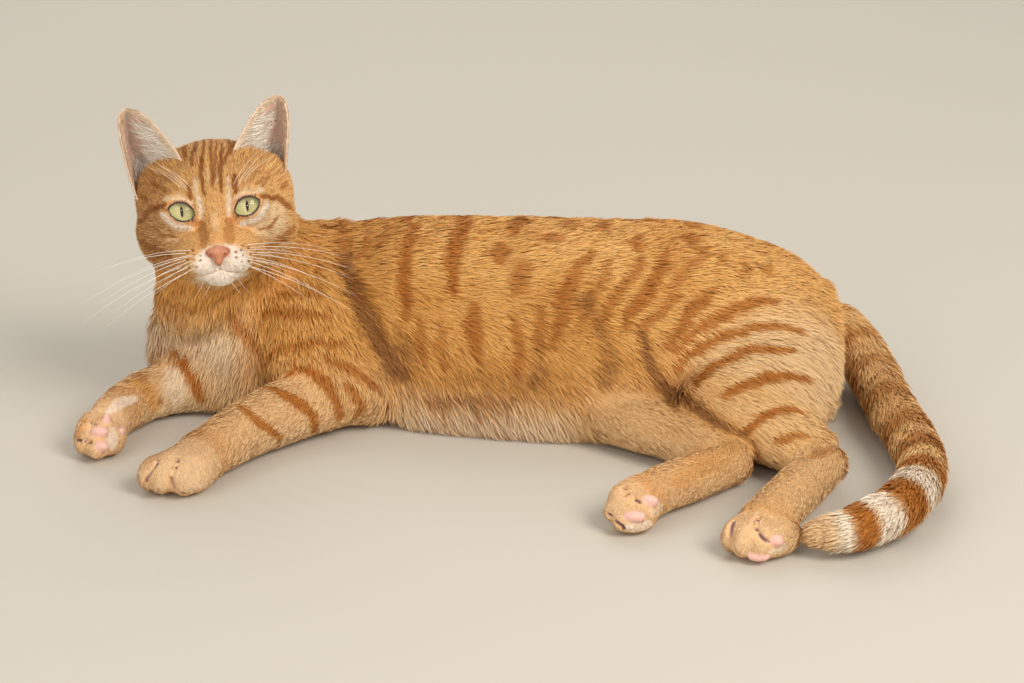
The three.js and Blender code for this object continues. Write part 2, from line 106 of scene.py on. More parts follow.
# Each paw: the way its toes point, then its palm and toes as (middle, radii across, along and up).
PAWS = {
    "forepaw_left": ((-0.25, -0.97, 0), (
        ((-172, -138, 14), (17, 18, 14.5)), ((-181, -145, 12.5), (18, 13.5, 12)),
        ((-195, -147, 10.5), (7.5, 11, 10)), ((-187, -151, 11), (8, 12, 11)),
        ((-174, -152, 11), (8.5, 12, 11)), ((-167, -145, 10.5), (8, 12, 10)))),
    "forepaw_right": ((-0.15, -0.98, -0.1), (
        ((-225, -80, 15), (14, 18, 15)), ((-229, -97, 14), (13, 15, 11)), ((-236, -96, 17), (7.5, 12, 8)),
        ((-237, -101, 10), (8, 12, 9)), ((-229, -106, 9), (8, 12, 8.5)), ((-221, -99, 9), (7.5, 11, 8.5)))),
    "hindfoot_left": ((-0.6, -0.8, 0), (
        ((143, -202, 12), (17, 12, 12)), ((131, -201, 11), (7.5, 12, 11)),
        ((137, -208, 11.5), (8, 13, 11.5)), ((148, -209, 11), (8, 12.5, 11)),
        ((158, -203, 10.5), (7.5, 12, 10.5)))),
    "hindfoot_right": ((-0.72, -0.69, 0), (
        ((75, -174, 14), (12, 13, 11)), ((72, -169, 19), (8, 12, 8)), ((69, -175, 12), (8, 12.5, 8.5)),
        ((74, -182, 9), (8, 12, 8.5)), ((81, -180, 9), (8, 11, 8.5)))),
}

# Forms of the head in its own frame: x to the cat's left, y up, z out of the face.
HEAD_FORMS = (
    ((0, 7, -40), (41, 35, 42)), ((0, 15, -27), (24, 22, 24)), ((0, -24, -26), (29, 20, 30)),
    ((0, -6, -7), (8.5, 12, 13)), ((0, -18, 5), (9, 9, 14.5)), ((0, -37, 3), (10.5, 8.5, 12)))
HEAD_PAIRED_FORMS = (
    ((25, -9, -34), (22, 23, 26)), ((32, 10, -36), (14, 17, 18)), ((17, 11, -22), (12, 9, 14)),
    ((22, -12, -16), (11, 8, 11)), ((12, -22, -4), (12, 11, 14)), ((9.5, -28.5, 8), (11.5, 10, 12.5)))

HEAD_OVOIDS = (*HEAD_FORMS, *HEAD_PAIRED_FORMS,
               *(((-x, y, z), radii) for (x, y, z), radii in HEAD_PAIRED_FORMS))
HEAD_COAT, HEAD_BLEND = 2.2, 8.0

EAR_TIP = (44, 62, -37)
EAR_INNER = ((15, 30, -20), (24, 50, -22), EAR_TIP)
EAR_OUTER = ((42, 12, -32), (50, 42, -30), EAR_TIP)
EAR_BACK = ((36, 22, -50), (42, 50, -50), EAR_TIP)
EAR_SHIFT = -2.2
# The hollow of the skull before each ear, its half width and its depth.
EAR_DENT = ((20, 29, -15), (30, 22, -17), (39, 13, -24))
DENT_WIDE, DENT_DEEP = 8.5, 5.0

# ---- shape tools


def unit(v: Array) -> Array:
    """Rows scaled to length one."""
    return v / np.maximum(np.linalg.norm(v, axis=-1, keepdims=True), 1e-9)


def across(v: Array, normal: Array) -> Array:
    """The part of each row of v that lies in the plane across its normal, at length one."""
    return unit(v - (v * normal).sum(1, keepdims=True) * normal)


def ease(x: Array, low: float, high: float) -> Array:
    """A smooth step from 0 at low to 1 at high, 3t^2 - 2t^3; high may be the smaller."""
    t = np.clip((np.asarray(x, float) - low) / (high - low), 0, 1)
    return t * t * (3 - 2 * t)


def soft_minimum(a: Array, b: Array, k: float) -> Array:
    """The smaller of two distances, less h^2 k / 4 where they differ by under k, h = 1 - |a - b| / k."""
    h = np.maximum(k - np.abs(a - b), 0) / k
    return np.minimum(a, b) - h * h * k / 4


def soft_maximum(a: Array, b: Array, k: float) -> Array:
    """The larger of two distances, rounded as soft_minimum rounds."""
    return -soft_minimum(-a, -b, k)


def smooth_run(rows: Array, t: Array) -> Array:
    """Points on a uniform Catmull-Rom run through the rows, whose ends go on straight.

    Args:
        rows: the stations, one a row.
        t: places from 0 to 1.

    Returns:
        One row for each t.
    """
    rows = np.asarray(rows, float)
    full = np.vstack([2 * rows[0] - rows[1], rows, 2 * rows[-1] - rows[-2]])
    x = np.clip(t, 0, 1) * (len(rows) - 1)
    i = np.minimum(x.astype(int), len(rows) - 2)
    w = (x - i)[:, None]
    p0, p1, p2, p3 = (full[i + k] for k in range(4))
    out, back = (p2 - p0) / 2, (p3 - p1) / 2
    return ((2 * w**3 - 3 * w**2 + 1) * p1 + (w**3 - 2 * w**2 + w) * out
            + (3 * w**2 - 2 * w**3) * p2 + (w**3 - w**2) * back)


def lattice_noise(p: Array, scale: float, seed: int) -> Array:
    """Smooth value noise from -1 to 1: hashed lattice corners, mixed with eased weights.

    Args:
        p: rows of points.
        scale: the lattice's step.
        seed: picks another pattern.

    Returns:
        One value for each row.
    """
    q = p / scale + 1000.0
    base = np.floor(q).astype(np.int64)
    w = q - base
    w = w * w * (3 - 2 * w)
    total = np.zeros(len(p))
    for corner in range(8):
        bit = np.array([corner & 1, corner >> 1 & 1, corner >> 2 & 1])
        c = base + bit
        h = c[:, 0] * 73856093 ^ c[:, 1] * 19349663 ^ c[:, 2] * 83492791 ^ seed * 2654435761
        h = (h ^ h >> 13) * 1274126177 & 0xFFFFFFFF
        value = (h ^ h >> 16 & 0xFFFF) % 65536 / 32767.5 - 1
        total += value * np.prod(np.where(bit, w, 1 - w), axis=1)
    return total


def ovoid_distance(p: Array, centre: Sequence[float], radii: Array) -> Array:
    """First-order distance to an ellipsoid, |q| (|q| - 1) / |q / r| with q = (p - centre) / r."""
    q = (p - np.asarray(centre, float)) / radii
    k0 = np.linalg.norm(q, axis=1)
    k1 = np.linalg.norm(q / radii, axis=1)
    return np.where(k1 > 1e-6, k0 * (k0 - 1) / np.maximum(k1, 1e-6), -np.min(radii))


def ovoids_distance(p: Array, ovoids: Sequence[Tuple[Triple, Triple]], coat: float, blend: float) -> Array:
    """Distance to ovoids that run softly into each other, each less the coat's depth."""
    d = np.full(len(p), FAR)
    for centre, radii in ovoids:
        d = soft_minimum(d, ovoid_distance(p, centre, np.array(radii) - coat), blend)
    return d


def within(p: Array, low: Array, high: Array) -> Array:
    """Which rows lie inside a box."""
    return np.all((p > low) & (p < high), axis=1)


def folded(q: Array) -> Array:
    """Points of the head's frame with the right half laid on the left, by |x|."""
    return np.column_stack([np.abs(q[:, 0]), q[:, 1:]])


def joined(kind: type, runs: Sequence[object]) -> object:
    """Records of arrays of one kind, put end to end."""
    return kind(*(np.concatenate([getattr(run, f.name) for run in runs]) for f in fields(kind)))


def path_distance(p: Array, path: Sequence[Triple]) -> Tuple[Array, Array]:
    """Distance from points to a run of straight stretches, and how far along it, 0 to 1, each lies."""
    path = np.asarray(path, float)
    if len(path) == 1:
        return np.linalg.norm(p - path[0], axis=1), np.zeros(len(p))
    best, place = np.full(len(p), FAR), np.zeros(len(p))
    for i, (a, b) in enumerate(zip(path[:-1], path[1:])):
        w = np.clip(((p - a) @ (b - a)) / max((b - a) @ (b - a), 1e-9), 0, 1)
        d = np.linalg.norm(p - a - w[:, None] * (b - a), axis=1)
        nearer = d < best
        best = np.where(nearer, d, best)
        place = np.where(nearer, (i + w) / (len(path) - 1), place)
    return best, place


@dataclass
class Near:
    """How points lie to one form: distance, place along it, angle round it and the coat's lie."""

    distance: Array
    place: Array
    angle: Array
    lie: Array


@dataclass
class Form:
    """What every form of the body has: a name, a box, a coat's depth and how softly it joins."""

    name: str
    coat: float = 5.0
    blend: float = 8.0
    low: Array = field(default_factory=lambda: np.zeros(3))
    high: Array = field(default_factory=lambda: np.zeros(3))

    def near(self, p: Array) -> Near:
        """How points lie to the form."""
        raise NotImplementedError


@dataclass
class Tube(Form):
    """A tube of oval rings along a smooth path, with rounded ends.

    Each station is x, y, z, half width, half height and, where it differs, depth below the path.
    """

    stations: Sequence[Sequence[float]] = ()
    lift: Triple = (0, 0, 1)
    start_cap: float = 12.0
    end_cap: float = 12.0
    settle: float = 2.0
    flow: float = 1.0
    drop: float = 0.0
    lie: Optional[Triple] = None
    samples: int = 64
    coat_end: Optional[float] = None

    def __post_init__(self) -> None:
        """Works out the rings once."""
        rows = np.array([(*s[:5], s[-1]) for s in self.stations], float)
        run = smooth_run(rows, np.linspace(0, 1, self.samples))
        self.middle, self.size = run[:, :3], run[:, 3:]
        self.tangent = unit(np.gradient(self.middle, axis=0))
        self.side = unit(np.cross(self.tangent, self.lift))
        self.rise = np.cross(self.side, self.tangent)
        self.spacing = np.linalg.norm(np.diff(self.middle, axis=0), axis=1).mean()
        reach = self.size.max() + max(self.start_cap, self.end_cap) + self.blend
        self.low, self.high = self.middle.min(0) - reach, self.middle.max(0) + reach

    def near(self, p: Array) -> Near:
        """Distance by the ring at the nearest place of the path.

        In a ring's own axes the radius q is (|x/w|^n + |z/h|^n)^(1/n), with n over 2 below the path
        where weight squares it; past an end, q joins with y / cap. The distance is (q - 1) / |grad q|.
        """
        apart = (p**2).sum(1)[:, None] - 2 * p @ self.middle.T + (self.middle**2).sum(1)
        j = apart.argmin(1)
        step = ((p - self.middle[j]) * self.tangent[j]).sum(1) / self.spacing
        place = np.clip(j + step, 0, self.samples - 1)
        i = np.minimum(place.astype(int), self.samples - 2)
        w = (place - i)[:, None]
        middle, tangent, side, rise, size = (
            a[i] * (1 - w) + a[i + 1] * w
            for a in (self.middle, self.tangent, self.side, self.rise, self.size))
        off = p - middle
        x, y, z = ((off * axis).sum(1) for axis in (side, tangent, rise))
        y = np.where((place <= 0) & (y < 0) | (place >= self.samples - 1) & (y > 0), y, 0)
        thin = self.coat if self.coat_end is None else self.coat_end
        coat = self.coat + (thin - self.coat) * place / (self.samples - 1)
        wide = np.maximum(size[:, 0] - coat, 2)
        tall = np.maximum(np.where(z < 0, size[:, 2], size[:, 1]) - coat, 2)
        cap = np.maximum(np.where(y < 0, self.start_cap, self.end_cap) - coat, 2)
        n = np.where(z < 0, self.settle, 2.0)
        ax, az = np.abs(x) / wide, np.abs(z) / tall
        q = np.maximum((ax**n + az**n) ** (1 / n), 1e-4)
        slope = np.hypot(ax ** (n - 1) / wide, az ** (n - 1) / tall) * q ** (1 - n)
        r = np.hypot(q, y / cap)
        steep = np.maximum(np.hypot(q * slope, y / cap**2) / r, 1e-4)
        high = z / np.maximum(np.hypot(x, z), 1e-6)
        lie = tangent * self.flow + np.array([0, 0, -self.drop]) * (0.9 - 1.3 * high[:, None])
        if self.lie is not None:
            lie = np.broadcast_to(unit(np.array(self.lie, float)), p.shape)
        return Near((r - 1) / steep, place / (self.samples - 1), np.arctan2(z, x), lie)


@dataclass
class Cluster(Form):
    """Ovoids that run softly into each other, such as the toes and palm of a paw."""

    ovoids: Sequence[Tuple[Triple, Triple]] = ()
    points: Triple = (0, -1, 0)
    inner_blend: float = 5.0

    def __post_init__(self) -> None:
        """Works out the axes: across, along the way the paw points, and up."""
        along = unit(np.array(self.points, float))
        side = unit(np.cross(along, (0, 0, 1)))
        self.axes = np.array([side, along, np.cross(side, along)])
        middles = np.array([o[0] for o in self.ovoids], float)
        reach = 20 + self.blend
        self.low, self.high = middles.min(0) - reach, middles.max(0) + reach
        self.heart = middles.mean(0)

    def near(self, p: Array) -> Near:
        """Distance to the soft union of the ovoids; the coat lies the way the toes point."""
        d = np.full(len(p), FAR)
        for centre, radii in self.ovoids:
            q = (p - np.array(centre, float)) @ self.axes.T
            d = soft_minimum(d, ovoid_distance(q, (0, 0, 0), np.array(radii) - self.coat),
                             self.inner_blend)
        off = (p - self.heart) @ self.axes.T
        lie = np.broadcast_to(self.axes[1] + np.array([0, 0, -0.25]), p.shape)
        return Near(d, off[:, 1] / 50 + 0.5, np.arctan2(off[:, 2], off[:, 0]), lie)


class HeadFrame:
    """The head's own axes: x to the cat's left, y up the face, z out of it."""

    def __init__(self) -> None:
        """Yaw about Z, then a lift of the face, then a lean, as the head's node is turned."""
        def turn(degrees: float, axis: int) -> Array:
            """A right-handed turn about X, 0, or Z, 2."""
            c, s = math.cos(math.radians(degrees)), math.sin(math.radians(degrees))
            if axis == 0:
                return np.array([[1, 0, 0], [0, c, -s], [0, s, c]])
            return np.array([[c, -s, 0], [s, c, 0], [0, 0, 1]])

        self.axes = turn(HEAD_YAW, 2) @ turn(90 - HEAD_LIFT, 0) @ turn(HEAD_ROLL, 2)
        self.at = np.array(HEAD_AT)

    def inward(self, p: Array) -> Array:
        """Points of the world in the head's frame."""
        return (p - self.at) @ self.axes

    def outward(self, q: Array) -> Array:
        """Points of the head's frame in the world."""
        return np.asarray(q, float) @ self.axes.T + self.at

    def turned(self, v: Array) -> Array:
        """Directions of the head's frame in the world."""
        return np.asarray(v, float) @ self.axes.T


HEAD = HeadFrame()


@dataclass(frozen=True)
class Lids:
    """The slanted almond between the lids of one eye, in the head's x and y.

    Its implicit value is (|b / height|^1.3 + |a / length|^2.2 - 1) scale, in about millimetres, with a
    along the slant, b across it, and other heights above and below.
    """

    middle: Tuple[float, float] = (18.6, 0.0)
    slant: float = 22.0
    length: float = 7.4
    upper: float = 4.9
    lower: float = 4.6
    scale: float = 4.6

    def measure(self, q: Array) -> Tuple[Array, Array, Array]:
        """The opening's value, under 0 between the lids, with a and b, for points of the head's frame."""
        x, y = np.abs(q[:, 0]) - self.middle[0], q[:, 1] - self.middle[1]
        c, s = math.cos(math.radians(self.slant)), math.sin(math.radians(self.slant))
        a, b = x * c + y * s, y * c - x * s
        tall = np.where(b > 0, self.upper, self.lower)
        value = ((np.abs(b) / tall) ** 1.3 + np.abs(a / self.length) ** 2.2 - 1) * self.scale
        return value, a, b


LIDS = Lids()
MOUTH = ((-10.5, -36.4, 0), (-5, -35.6, 0), (0, -33.6, 0), (5, -35.6, 0), (10.5, -36.4, 0))
PHILTRUM = ((0, -29.0, 0), (0, -34.0, 0))
TEAR_LINE = ((12.6, -5.2, 0), (9.6, -8.6, 0))


def line_distance(q: Array, path: Sequence[Triple]) -> Array:
    """Distance from points of the head's frame to a line of the face, seen from the front."""
    return path_distance(q * (1, 1, 0), path)[0]


def mouth_distance(q: Array) -> Array:
    """Distance, seen from the front, to the mouth and the groove above it, whichever is nearer."""
    return np.minimum(line_distance(q, MOUTH), line_distance(q, PHILTRUM))


@dataclass
class HeadForm(Form):
    """The head: soft-joined ovoids with raised lids, eye openings, tear lines and a mouth."""

    lid_thickness: float = 1.5

    def __post_init__(self) -> None:
        """Sets the box."""
        self.low, self.high = HEAD.at + (-75, -62, -80), HEAD.at + (75, 110, 75)

    def near(self, p: Array) -> Near:
        """Distance to the head, and the coat's lie, which runs away from the nose."""
        q = HEAD.inward(p)
        d = ovoids_distance(q, HEAD_OVOIDS, self.coat, HEAD_BLEND)
        d = d + DENT_DEEP * np.exp(-((path_distance(folded(q), EAR_DENT)[0] / DENT_WIDE) ** 2))
        face = q[:, 2] > -16
        if face.any():
            d[face] = self._detail(q[face], d[face])
        away = q - np.array(NOSE_TIP)
        lie = HEAD.turned(unit(away) + np.array([0, 0, -0.2]))
        return Near(d, ease(-q[:, 2], -20, 90), np.arctan2(q[:, 0], q[:, 1]), lie)

    def _detail(self, q: Array, d: Array) -> Array:
        """The distance with the fine forms of the face added, for points in front of the ears."""
        ball = folded(q) - (EYE_APART / 2, 0, -EYE_DEPTH)
        lid = np.linalg.norm(ball, axis=1) - EYE_RADIUS - self.lid_thickness
        d = soft_minimum(d, lid, 4.0)
        value, a, b = LIDS.measure(q)
        d = d + 0.7 * np.exp(-(((value - 3.2) / 1.0) ** 2)) * ease(b, 0, 3)
        d = d + 0.4 * np.exp(-(((value - 3.4) / 1.0) ** 2)) * ease(-b, 0, 3)
        opening = np.maximum(value, -EYE_DEPTH - q[:, 2])
        d = soft_maximum(d, -opening, 0.7)
        front = ease(q[:, 2], -6, 2)
        for gap, wide, deep in ((line_distance(q, MOUTH), 0.9, 0.9), (line_distance(q, PHILTRUM), 0.7, 1.0),
                                (line_distance(folded(q), TEAR_LINE), 1.1, 0.9)):
            d = d + deep * front * np.exp(-((gap / wide) ** 2))
        return d


# ---- the body as one field


# Bare pads of the feet: middle, as x, y, z or across and down the picture, and radii.
PADS: Tuple[Tuple[Place, Triple], ...] = (
    ((106.6, 419.4), (2.4, 3, 3.2)), ((100, 432), (5, 3, 2.8)),
    ((102, 446.5), (4.2, 2.6, 3)), ((121.8, 430), (1.8, 2.6, 3)),
    ((-210, -69, 13.6), (2.4, 2.6, 4.2)), ((776.7, 541), (4.0, 2.8, 3.2)),
    ((758.4, 556.8), (6.2, 2.8, 2.6)), ((649.9, 501.2), (5, 3.0, 3.4)),
    ((635.5, 516.9), (6.2, 3.0, 3.0)), ((90.5, -166.5, 15.5), (3.2, 2.4, 3.0)))

# Gaps between toes and other short furrows of the feet.
TOE_GAPS: Tuple[Path, ...] = (
    ((-190, -151, 21), (154.3, 466), (146.7, 477.9), (147.8, 488.8), (-190, -156, 1)),
    ((-178, -151, 21), (174.9, 467.1), (170.6, 477.9), (172.2, 485.5), (180.3, 493.1), (-172, -160, 2)),
    ((129.3, -203, 21), (128, -208, 17), (730.3, 538.5), (733, 547.7), (133, -216, 3)),
    ((143.5, -202, 23), (757, 520.2), (757, 529.4), (762.3, 537.2), (767.6, 541.1)),
    ((626.4, 487.5), (625.1, 492.8), (634.2, 498), (640.8, 501.3)),
    ((62.5, -183, 12), (614, 520), (622.5, 526.7), (625, 532)),
    ((-241, -101, 21), (85, 424), (97, 424)),
    ((-243, -106, 12), (78, 440), (90, 442)))
# A gap's half width and depth, how far beyond its box it, a pad or a stroke, and a crease are felt.
TOE_GAP = (1.2, 2.3)
FAR_GAP, REACH, CREASE_REACH = 4.5, 14, 25

# Soft furrows behind the shoulder and before the thigh: half width, depth and then the path.
CREASES = (
    (9, 3.5, (-92, 4, 106), (-86, -36, 78), (-72, -50, 54), (-62, -56, 38)),
    (10, 2.0, (96, -58, 60), (118, -46, 80), (150, -20, 95)))

FLESH_NODES = (
    "head", "ear_left", "ear_right", "chest", "abdomen", "rump", "neck", "foreleg_left_upper",
    "foreleg_left_lower", "foreleg_right_lower", "hindleg_left_thigh", "hindleg_left_shank",
    "hindleg_right_shank", "forepaw_left", "forepaw_right", "hindfoot_left", "hindfoot_right", "tail_1",
    "tail_2", "tail_3", "tail_4")


def body_forms() -> List[Form]:
    """Every form of the body under its coat, in the order they join."""
    def paw(name: str, blend: float = 9.0) -> Cluster:
        """One paw's palm and toes."""
        points, ovoids = PAWS[name]
        return Cluster(name, coat=1.6, blend=blend, ovoids=ovoids, points=points)

    return [
        Tube("trunk", 5, 10, stations=TRUNK, start_cap=15, end_cap=19, settle=3.5, drop=1.0,
             samples=96),
        Tube("neck", 5, 14, stations=NECK, lift=(-0.5, 0, 1), start_cap=10, end_cap=8, flow=-1),
        Cluster("ruff", coat=5, blend=18, points=(-0.3, -0.35, -1.0),
                ovoids=(((-180, -43, 99), (26, 27, 23)), ((-181, -33, 76), (27, 26, 24)))),
        HeadForm("head", HEAD_COAT, 10),
        Tube("shoulder", 4.5, 9, stations=UPPER_ARM_LEFT, lift=(0, -1, 0.6), start_cap=12,
             end_cap=14),
        Tube("far_shoulder", 5, 9, stations=((-100, 34, 78, 30, 20), (-112, 54, 50, 32, 22),
                                             (-104, 58, 26, 30, 20))),
        Tube("foreleg_left", 4, 8, stations=FOREARM_LEFT, start_cap=13, coat_end=2),
        Tube("foreleg_right", 4, 8, stations=FOREARM_RIGHT, start_cap=10, coat_end=2),
        Tube("thigh", 5, 8, stations=THIGH_LEFT, lift=(0.21, -0.335, 0.92), start_cap=20,
             end_cap=12, lie=(0.85, -0.15, -0.35)),
        Tube("far_haunch", 5, 9, stations=((112, 52, 44, 40, 36), (150, 56, 44, 42, 36),
                                           (172, 50, 38, 36, 30)), lie=(0.85, 0.15, -0.35)),
        Tube("shank_left", 4, 7, stations=SHANK_LEFT, start_cap=18, end_cap=14),
        Tube("shank_right", 4, 7, stations=SHANK_RIGHT, start_cap=12, end_cap=8),
        Tube("hind_left", 3, 6, stations=METATARSUS_LEFT, start_cap=13, end_cap=12, coat_end=1.8),
        Tube("hind_right", 3, 6, stations=METATARSUS_RIGHT, start_cap=11, end_cap=11, coat_end=1.8),
        paw("forepaw_left"), paw("forepaw_right"), paw("hindfoot_left"), paw("hindfoot_right"),
        Tube("tail", 5.5, 8, stations=TAIL, start_cap=8, end_cap=13, samples=96),
    ]


@dataclass
class Survey:
    """What the coat needs to know of each point: its nearest form, its place and its lie."""

    form: Array
    place: Array
    angle: Array
    lie: Array
    weights: Array


BREAST_LIE = (-0.45, -0.35, -1.0)
DROOP = (0, 0, -0.3)


@dataclass(frozen=True)
class Sight:
    """The camera's place in mm and its aim, and the picture in which paired places are given.

    A place of two numbers is across and down a picture of 1024 by 683.
    """

    at: Triple = (6.1, -1646.9, 704.1)
    down: float = 22.0
    roll: float = 1.86
    focal: float = 2940.0
    middle: Tuple[float, float] = (512.0, 341.5)
    start: float = 1540.0

    def turn(self) -> Matrix:
        """The camera's turn: pitched down from level, after a small roll."""
        pitch = Matrix.Rotation(math.radians(90 - self.down), 3, "X")
        return pitch @ Matrix.Rotation(math.radians(self.roll), 3, "Z")

    def rays(self, places: Array) -> Array:
        """Unit directions through places of the picture: (x / f, -y / f, -1), turned as the camera is."""
        out = np.column_stack([(places - self.middle) / self.focal * (1, -1), -np.ones(len(places))])
        return unit(out @ np.array(self.turn()).T)


SIGHT = Sight()


class Body:
    """All forms of the flesh as one distance field."""

    def __init__(self) -> None:
        """Builds the forms once, then the pads and the gaps between toes, which lie on them."""
        self.forms = body_forms()
        self.names = [f.name for f in self.forms]
        self.gaps: List[Array] = []
        self.pads: List[Tuple[Array, Triple]] = []
        middles = self.placed([[middle] for middle, _ in PADS])
        self.pads = [(middle[0], radii) for middle, (_, radii) in zip(middles, PADS)]
        self.gaps = [self._sunk(path) for path in self.placed(TOE_GAPS)]

    def placed(self, paths: Sequence[Path]) -> List[Array]:
        """Paths in the body's frame: a place of three numbers as it is, one of two cast onto the skin.

        Args:
            paths: runs of places, each either x, y, z in mm or across and down the picture.

        Returns:
            One array of x, y, z rows for each path.
        """
        flat = [place for path in paths for place in path]
        paired = np.array([len(place) == 2 for place in flat], bool)
        out = np.array([(0, 0, 0) if len(place) == 2 else place for place in flat], float)
        if paired.any():
            out[paired] = self._cast(np.array([place for place in flat if len(place) == 2], float))
        return np.split(out, np.cumsum([len(path) for path in paths])[:-1])

    def _cast(self, places: Array) -> Array:
        """Where rays through places of the picture meet the skin, in steps of 0.6 of the distance to it."""
        rays = SIGHT.rays(places)
        far = np.full((len(places), 1), SIGHT.start)
        for _ in range(130):
            far += 0.6 * np.clip(self.field(SIGHT.at + far * rays), -5, 8)[:, None]
        return SIGHT.at + far * rays

    def field(self, p: Array) -> Array:
        """Distance to the soft union of all forms, furrowed by the creases and flat on the floor."""
        d = np.full(len(p), FAR)
        for form in self.forms:
            inside = within(p, form.low, form.high)
            if inside.any():
                near = form.near(p[inside]).distance
                d[inside] = soft_minimum(d[inside], near, form.blend)
        for wide, deep, *path in CREASES:
            box = np.array(path)
            inside = within(p, box.min(0) - CREASE_REACH, box.max(0) + CREASE_REACH)
            if inside.any():
                d[inside] += deep * np.exp(-((path_distance(p[inside], path)[0] / wide) ** 2))
        self._foot_detail(p, d)
        return np.maximum(d, FLOOR_CLEAR - p[:, 2])

    def _foot_detail(self, p: Array, d: Array) -> None:
        """Raises the pads and sinks the gaps between the toes, for points about the feet."""
        for middle, radii in self.pads:
            inside = np.all(np.abs(p - middle) < REACH, axis=1)
            if inside.any():
                d[inside] = soft_minimum(d[inside], ovoid_distance(p[inside], middle, np.array(radii)), 0.8)
        wide, deep = TOE_GAP
        if self.gaps:
            gap = self.gap_distance(p)
            d += deep * np.exp(-((gap / wide) ** 2)) * (gap < FAR_GAP)

    def _sunk(self, path: Array) -> Array:
        """A toe gap's points on a smooth run, moved onto the skin and a little below it."""
        run = self.onto(smooth_run(path, np.linspace(0, 1, 16)), 6)
        return run - 1.0 * unit(self.slope(run))

    def gap_distance(self, p: Array) -> Array:
        """How far each point is from the nearest gap between toes, up to FAR_GAP."""
        gap = np.full(len(p), FAR_GAP)
        for path in self.gaps:
            near = within(p, path.min(0) - FAR_GAP, path.max(0) + FAR_GAP)
            if near.any():
                gap[near] = np.minimum(gap[near], path_distance(p[near], path)[0])
        return gap

    def slope(self, p: Array, reach: float = 0.3) -> Array:
        """The field's gradient by differences over twice the reach."""
        out = np.empty_like(p)
        for axis in range(3):
            step = np.zeros(3)
            step[axis] = reach
            out[:, axis] = (self.field(p + step) - self.field(p - step)) / (2 * reach)
        return out

    def onto(self, p: Array, rounds: int = 2) -> Array:
        """Points moved down the slope onto the surface, by d grad / |grad|^2 each round."""
        for _ in range(rounds):
            d, g = self.field(p), self.slope(p)
            move = d[:, None] * g / np.maximum((g**2).sum(1, keepdims=True), 0.2)
            p = p - np.clip(move, -2.0, 2.0)
        return p

    def survey(self, p: Array, most: int = 50000) -> Survey:
        """The survey of many points, in runs of most at a time."""
        return joined(Survey, [self._survey(p[i:i + most]) for i in range(0, len(p), most)])

    def share(self, weights: Array, *names: str) -> Array:
        """How much of each point belongs to the named forms."""
        return sum(weights[:, self.names.index(name)] for name in names)

    def _survey(self, p: Array) -> Survey:
        """Which form each point is on, where, and the coat's lie, mixed by exp(-distance / 5 mm)."""
        count = len(self.forms)
        weights = np.zeros((len(p), count))
        place, angle = np.zeros((len(p), count)), np.zeros((len(p), count))
        lie = np.zeros((len(p), 3))
        for k, form in enumerate(self.forms):
            inside = within(p, form.low, form.high)
            if not inside.any():
                continue
            near = form.near(p[inside])
            weight = np.exp(-np.clip(near.distance + form.coat * 0.3, -5, 40) / 5)
            weights[inside, k] = weight
            place[inside, k], angle[inside, k] = near.place, near.angle
            lie[inside] += weight[:, None] * near.lie
        best = weights.argmax(1)
        rows = np.arange(len(p))
        weights = weights / np.maximum(weights.sum(1, keepdims=True), 1e-9)
        front = ease(p[:, 0], -126, -152) * ease(p[:, 1], 14, -10)
        front = (front * self.share(weights, "trunk", "neck"))[:, None]
        droop = np.array(DROOP) * (1 - self.share(weights, "head"))[:, None]
        lie = (unit(lie) + droop) * (1 - front) + front * np.array(BREAST_LIE)
        return Survey(best, place[rows, best], angle[rows, best], unit(lie), weights)


# ---- meshes


def surface_nets(values: Array, origin: Array, step: float) -> Tuple[Array, Array]:
    """A surface of quads through the zeros of a grid of values.

    Each cell that the surface passes gets one vertex, the mean of the crossings on its twelve
    edges, and each crossed grid edge gets a quad of the four cells round it.

    Args:
        values: distances on a regular grid, negative inside.
        origin: where the grid's first node lies.
        step: the grid's step.

    Returns:
        Vertices and quads, faces outwards.
    """
    nx, ny, nz = values.shape
    offsets = [(i, j, k) for i in (0, 1) for j in (0, 1) for k in (0, 1)]
    corner = {o: values[o[0]:nx - 1 + o[0], o[1]:ny - 1 + o[1], o[2]:nz - 1 + o[2]] for o in offsets}
    count = sum((corner[o] < 0).astype(np.int8) for o in offsets)
    cells = np.argwhere((count > 0) & (count < 8))
    index = np.full(count.shape, -1)
    index[tuple(cells.T)] = np.arange(len(cells))
    at = {o: corner[o][tuple(cells.T)] for o in offsets}
    total, crossings = np.zeros((len(cells), 3)), np.zeros(len(cells))
    for a in offsets:
        for axis in range(3):
            if a[axis]:
                continue
            b = tuple(v + (n == axis) for n, v in enumerate(a))
            crossed = (at[a] < 0) != (at[b] < 0)
            t = np.where(crossed, at[a] / np.where(crossed, at[a] - at[b], 1), 0)
            point = np.array(a, float) + t[:, None] * np.eye(3)[axis]
            total += np.where(crossed[:, None], point, 0)
            crossings += crossed
    vertices = origin + step * (cells + total / crossings[:, None])
    quads = []
    for axis in range(3):
        u, v = (axis + 1) % 3, (axis + 2) % 3
        low = np.moveaxis(values, axis, 0)[:-1]
        high = np.moveaxis(values, axis, 0)[1:]
        nodes = np.argwhere(np.moveaxis((low < 0) != (high < 0), 0, axis))
        nodes = nodes[(nodes[:, u] > 0) & (nodes[:, v] > 0)]
        nodes = nodes[(nodes[:, u] < values.shape[u] - 1) & (nodes[:, v] < values.shape[v] - 1)]
        ring = []
        for du, dv in ((1, 1), (0, 1), (0, 0), (1, 0)):
            cell = nodes.copy()
            cell[:, u] -= du
            cell[:, v] -= dv
            ring.append(index[tuple(cell.T)])
        ring = np.stack(ring, 1)
        outward = values[tuple(nodes.T)] < 0
        quads.append(np.where(outward[:, None], ring, ring[:, ::-1]))
    return vertices, np.vstack(quads)


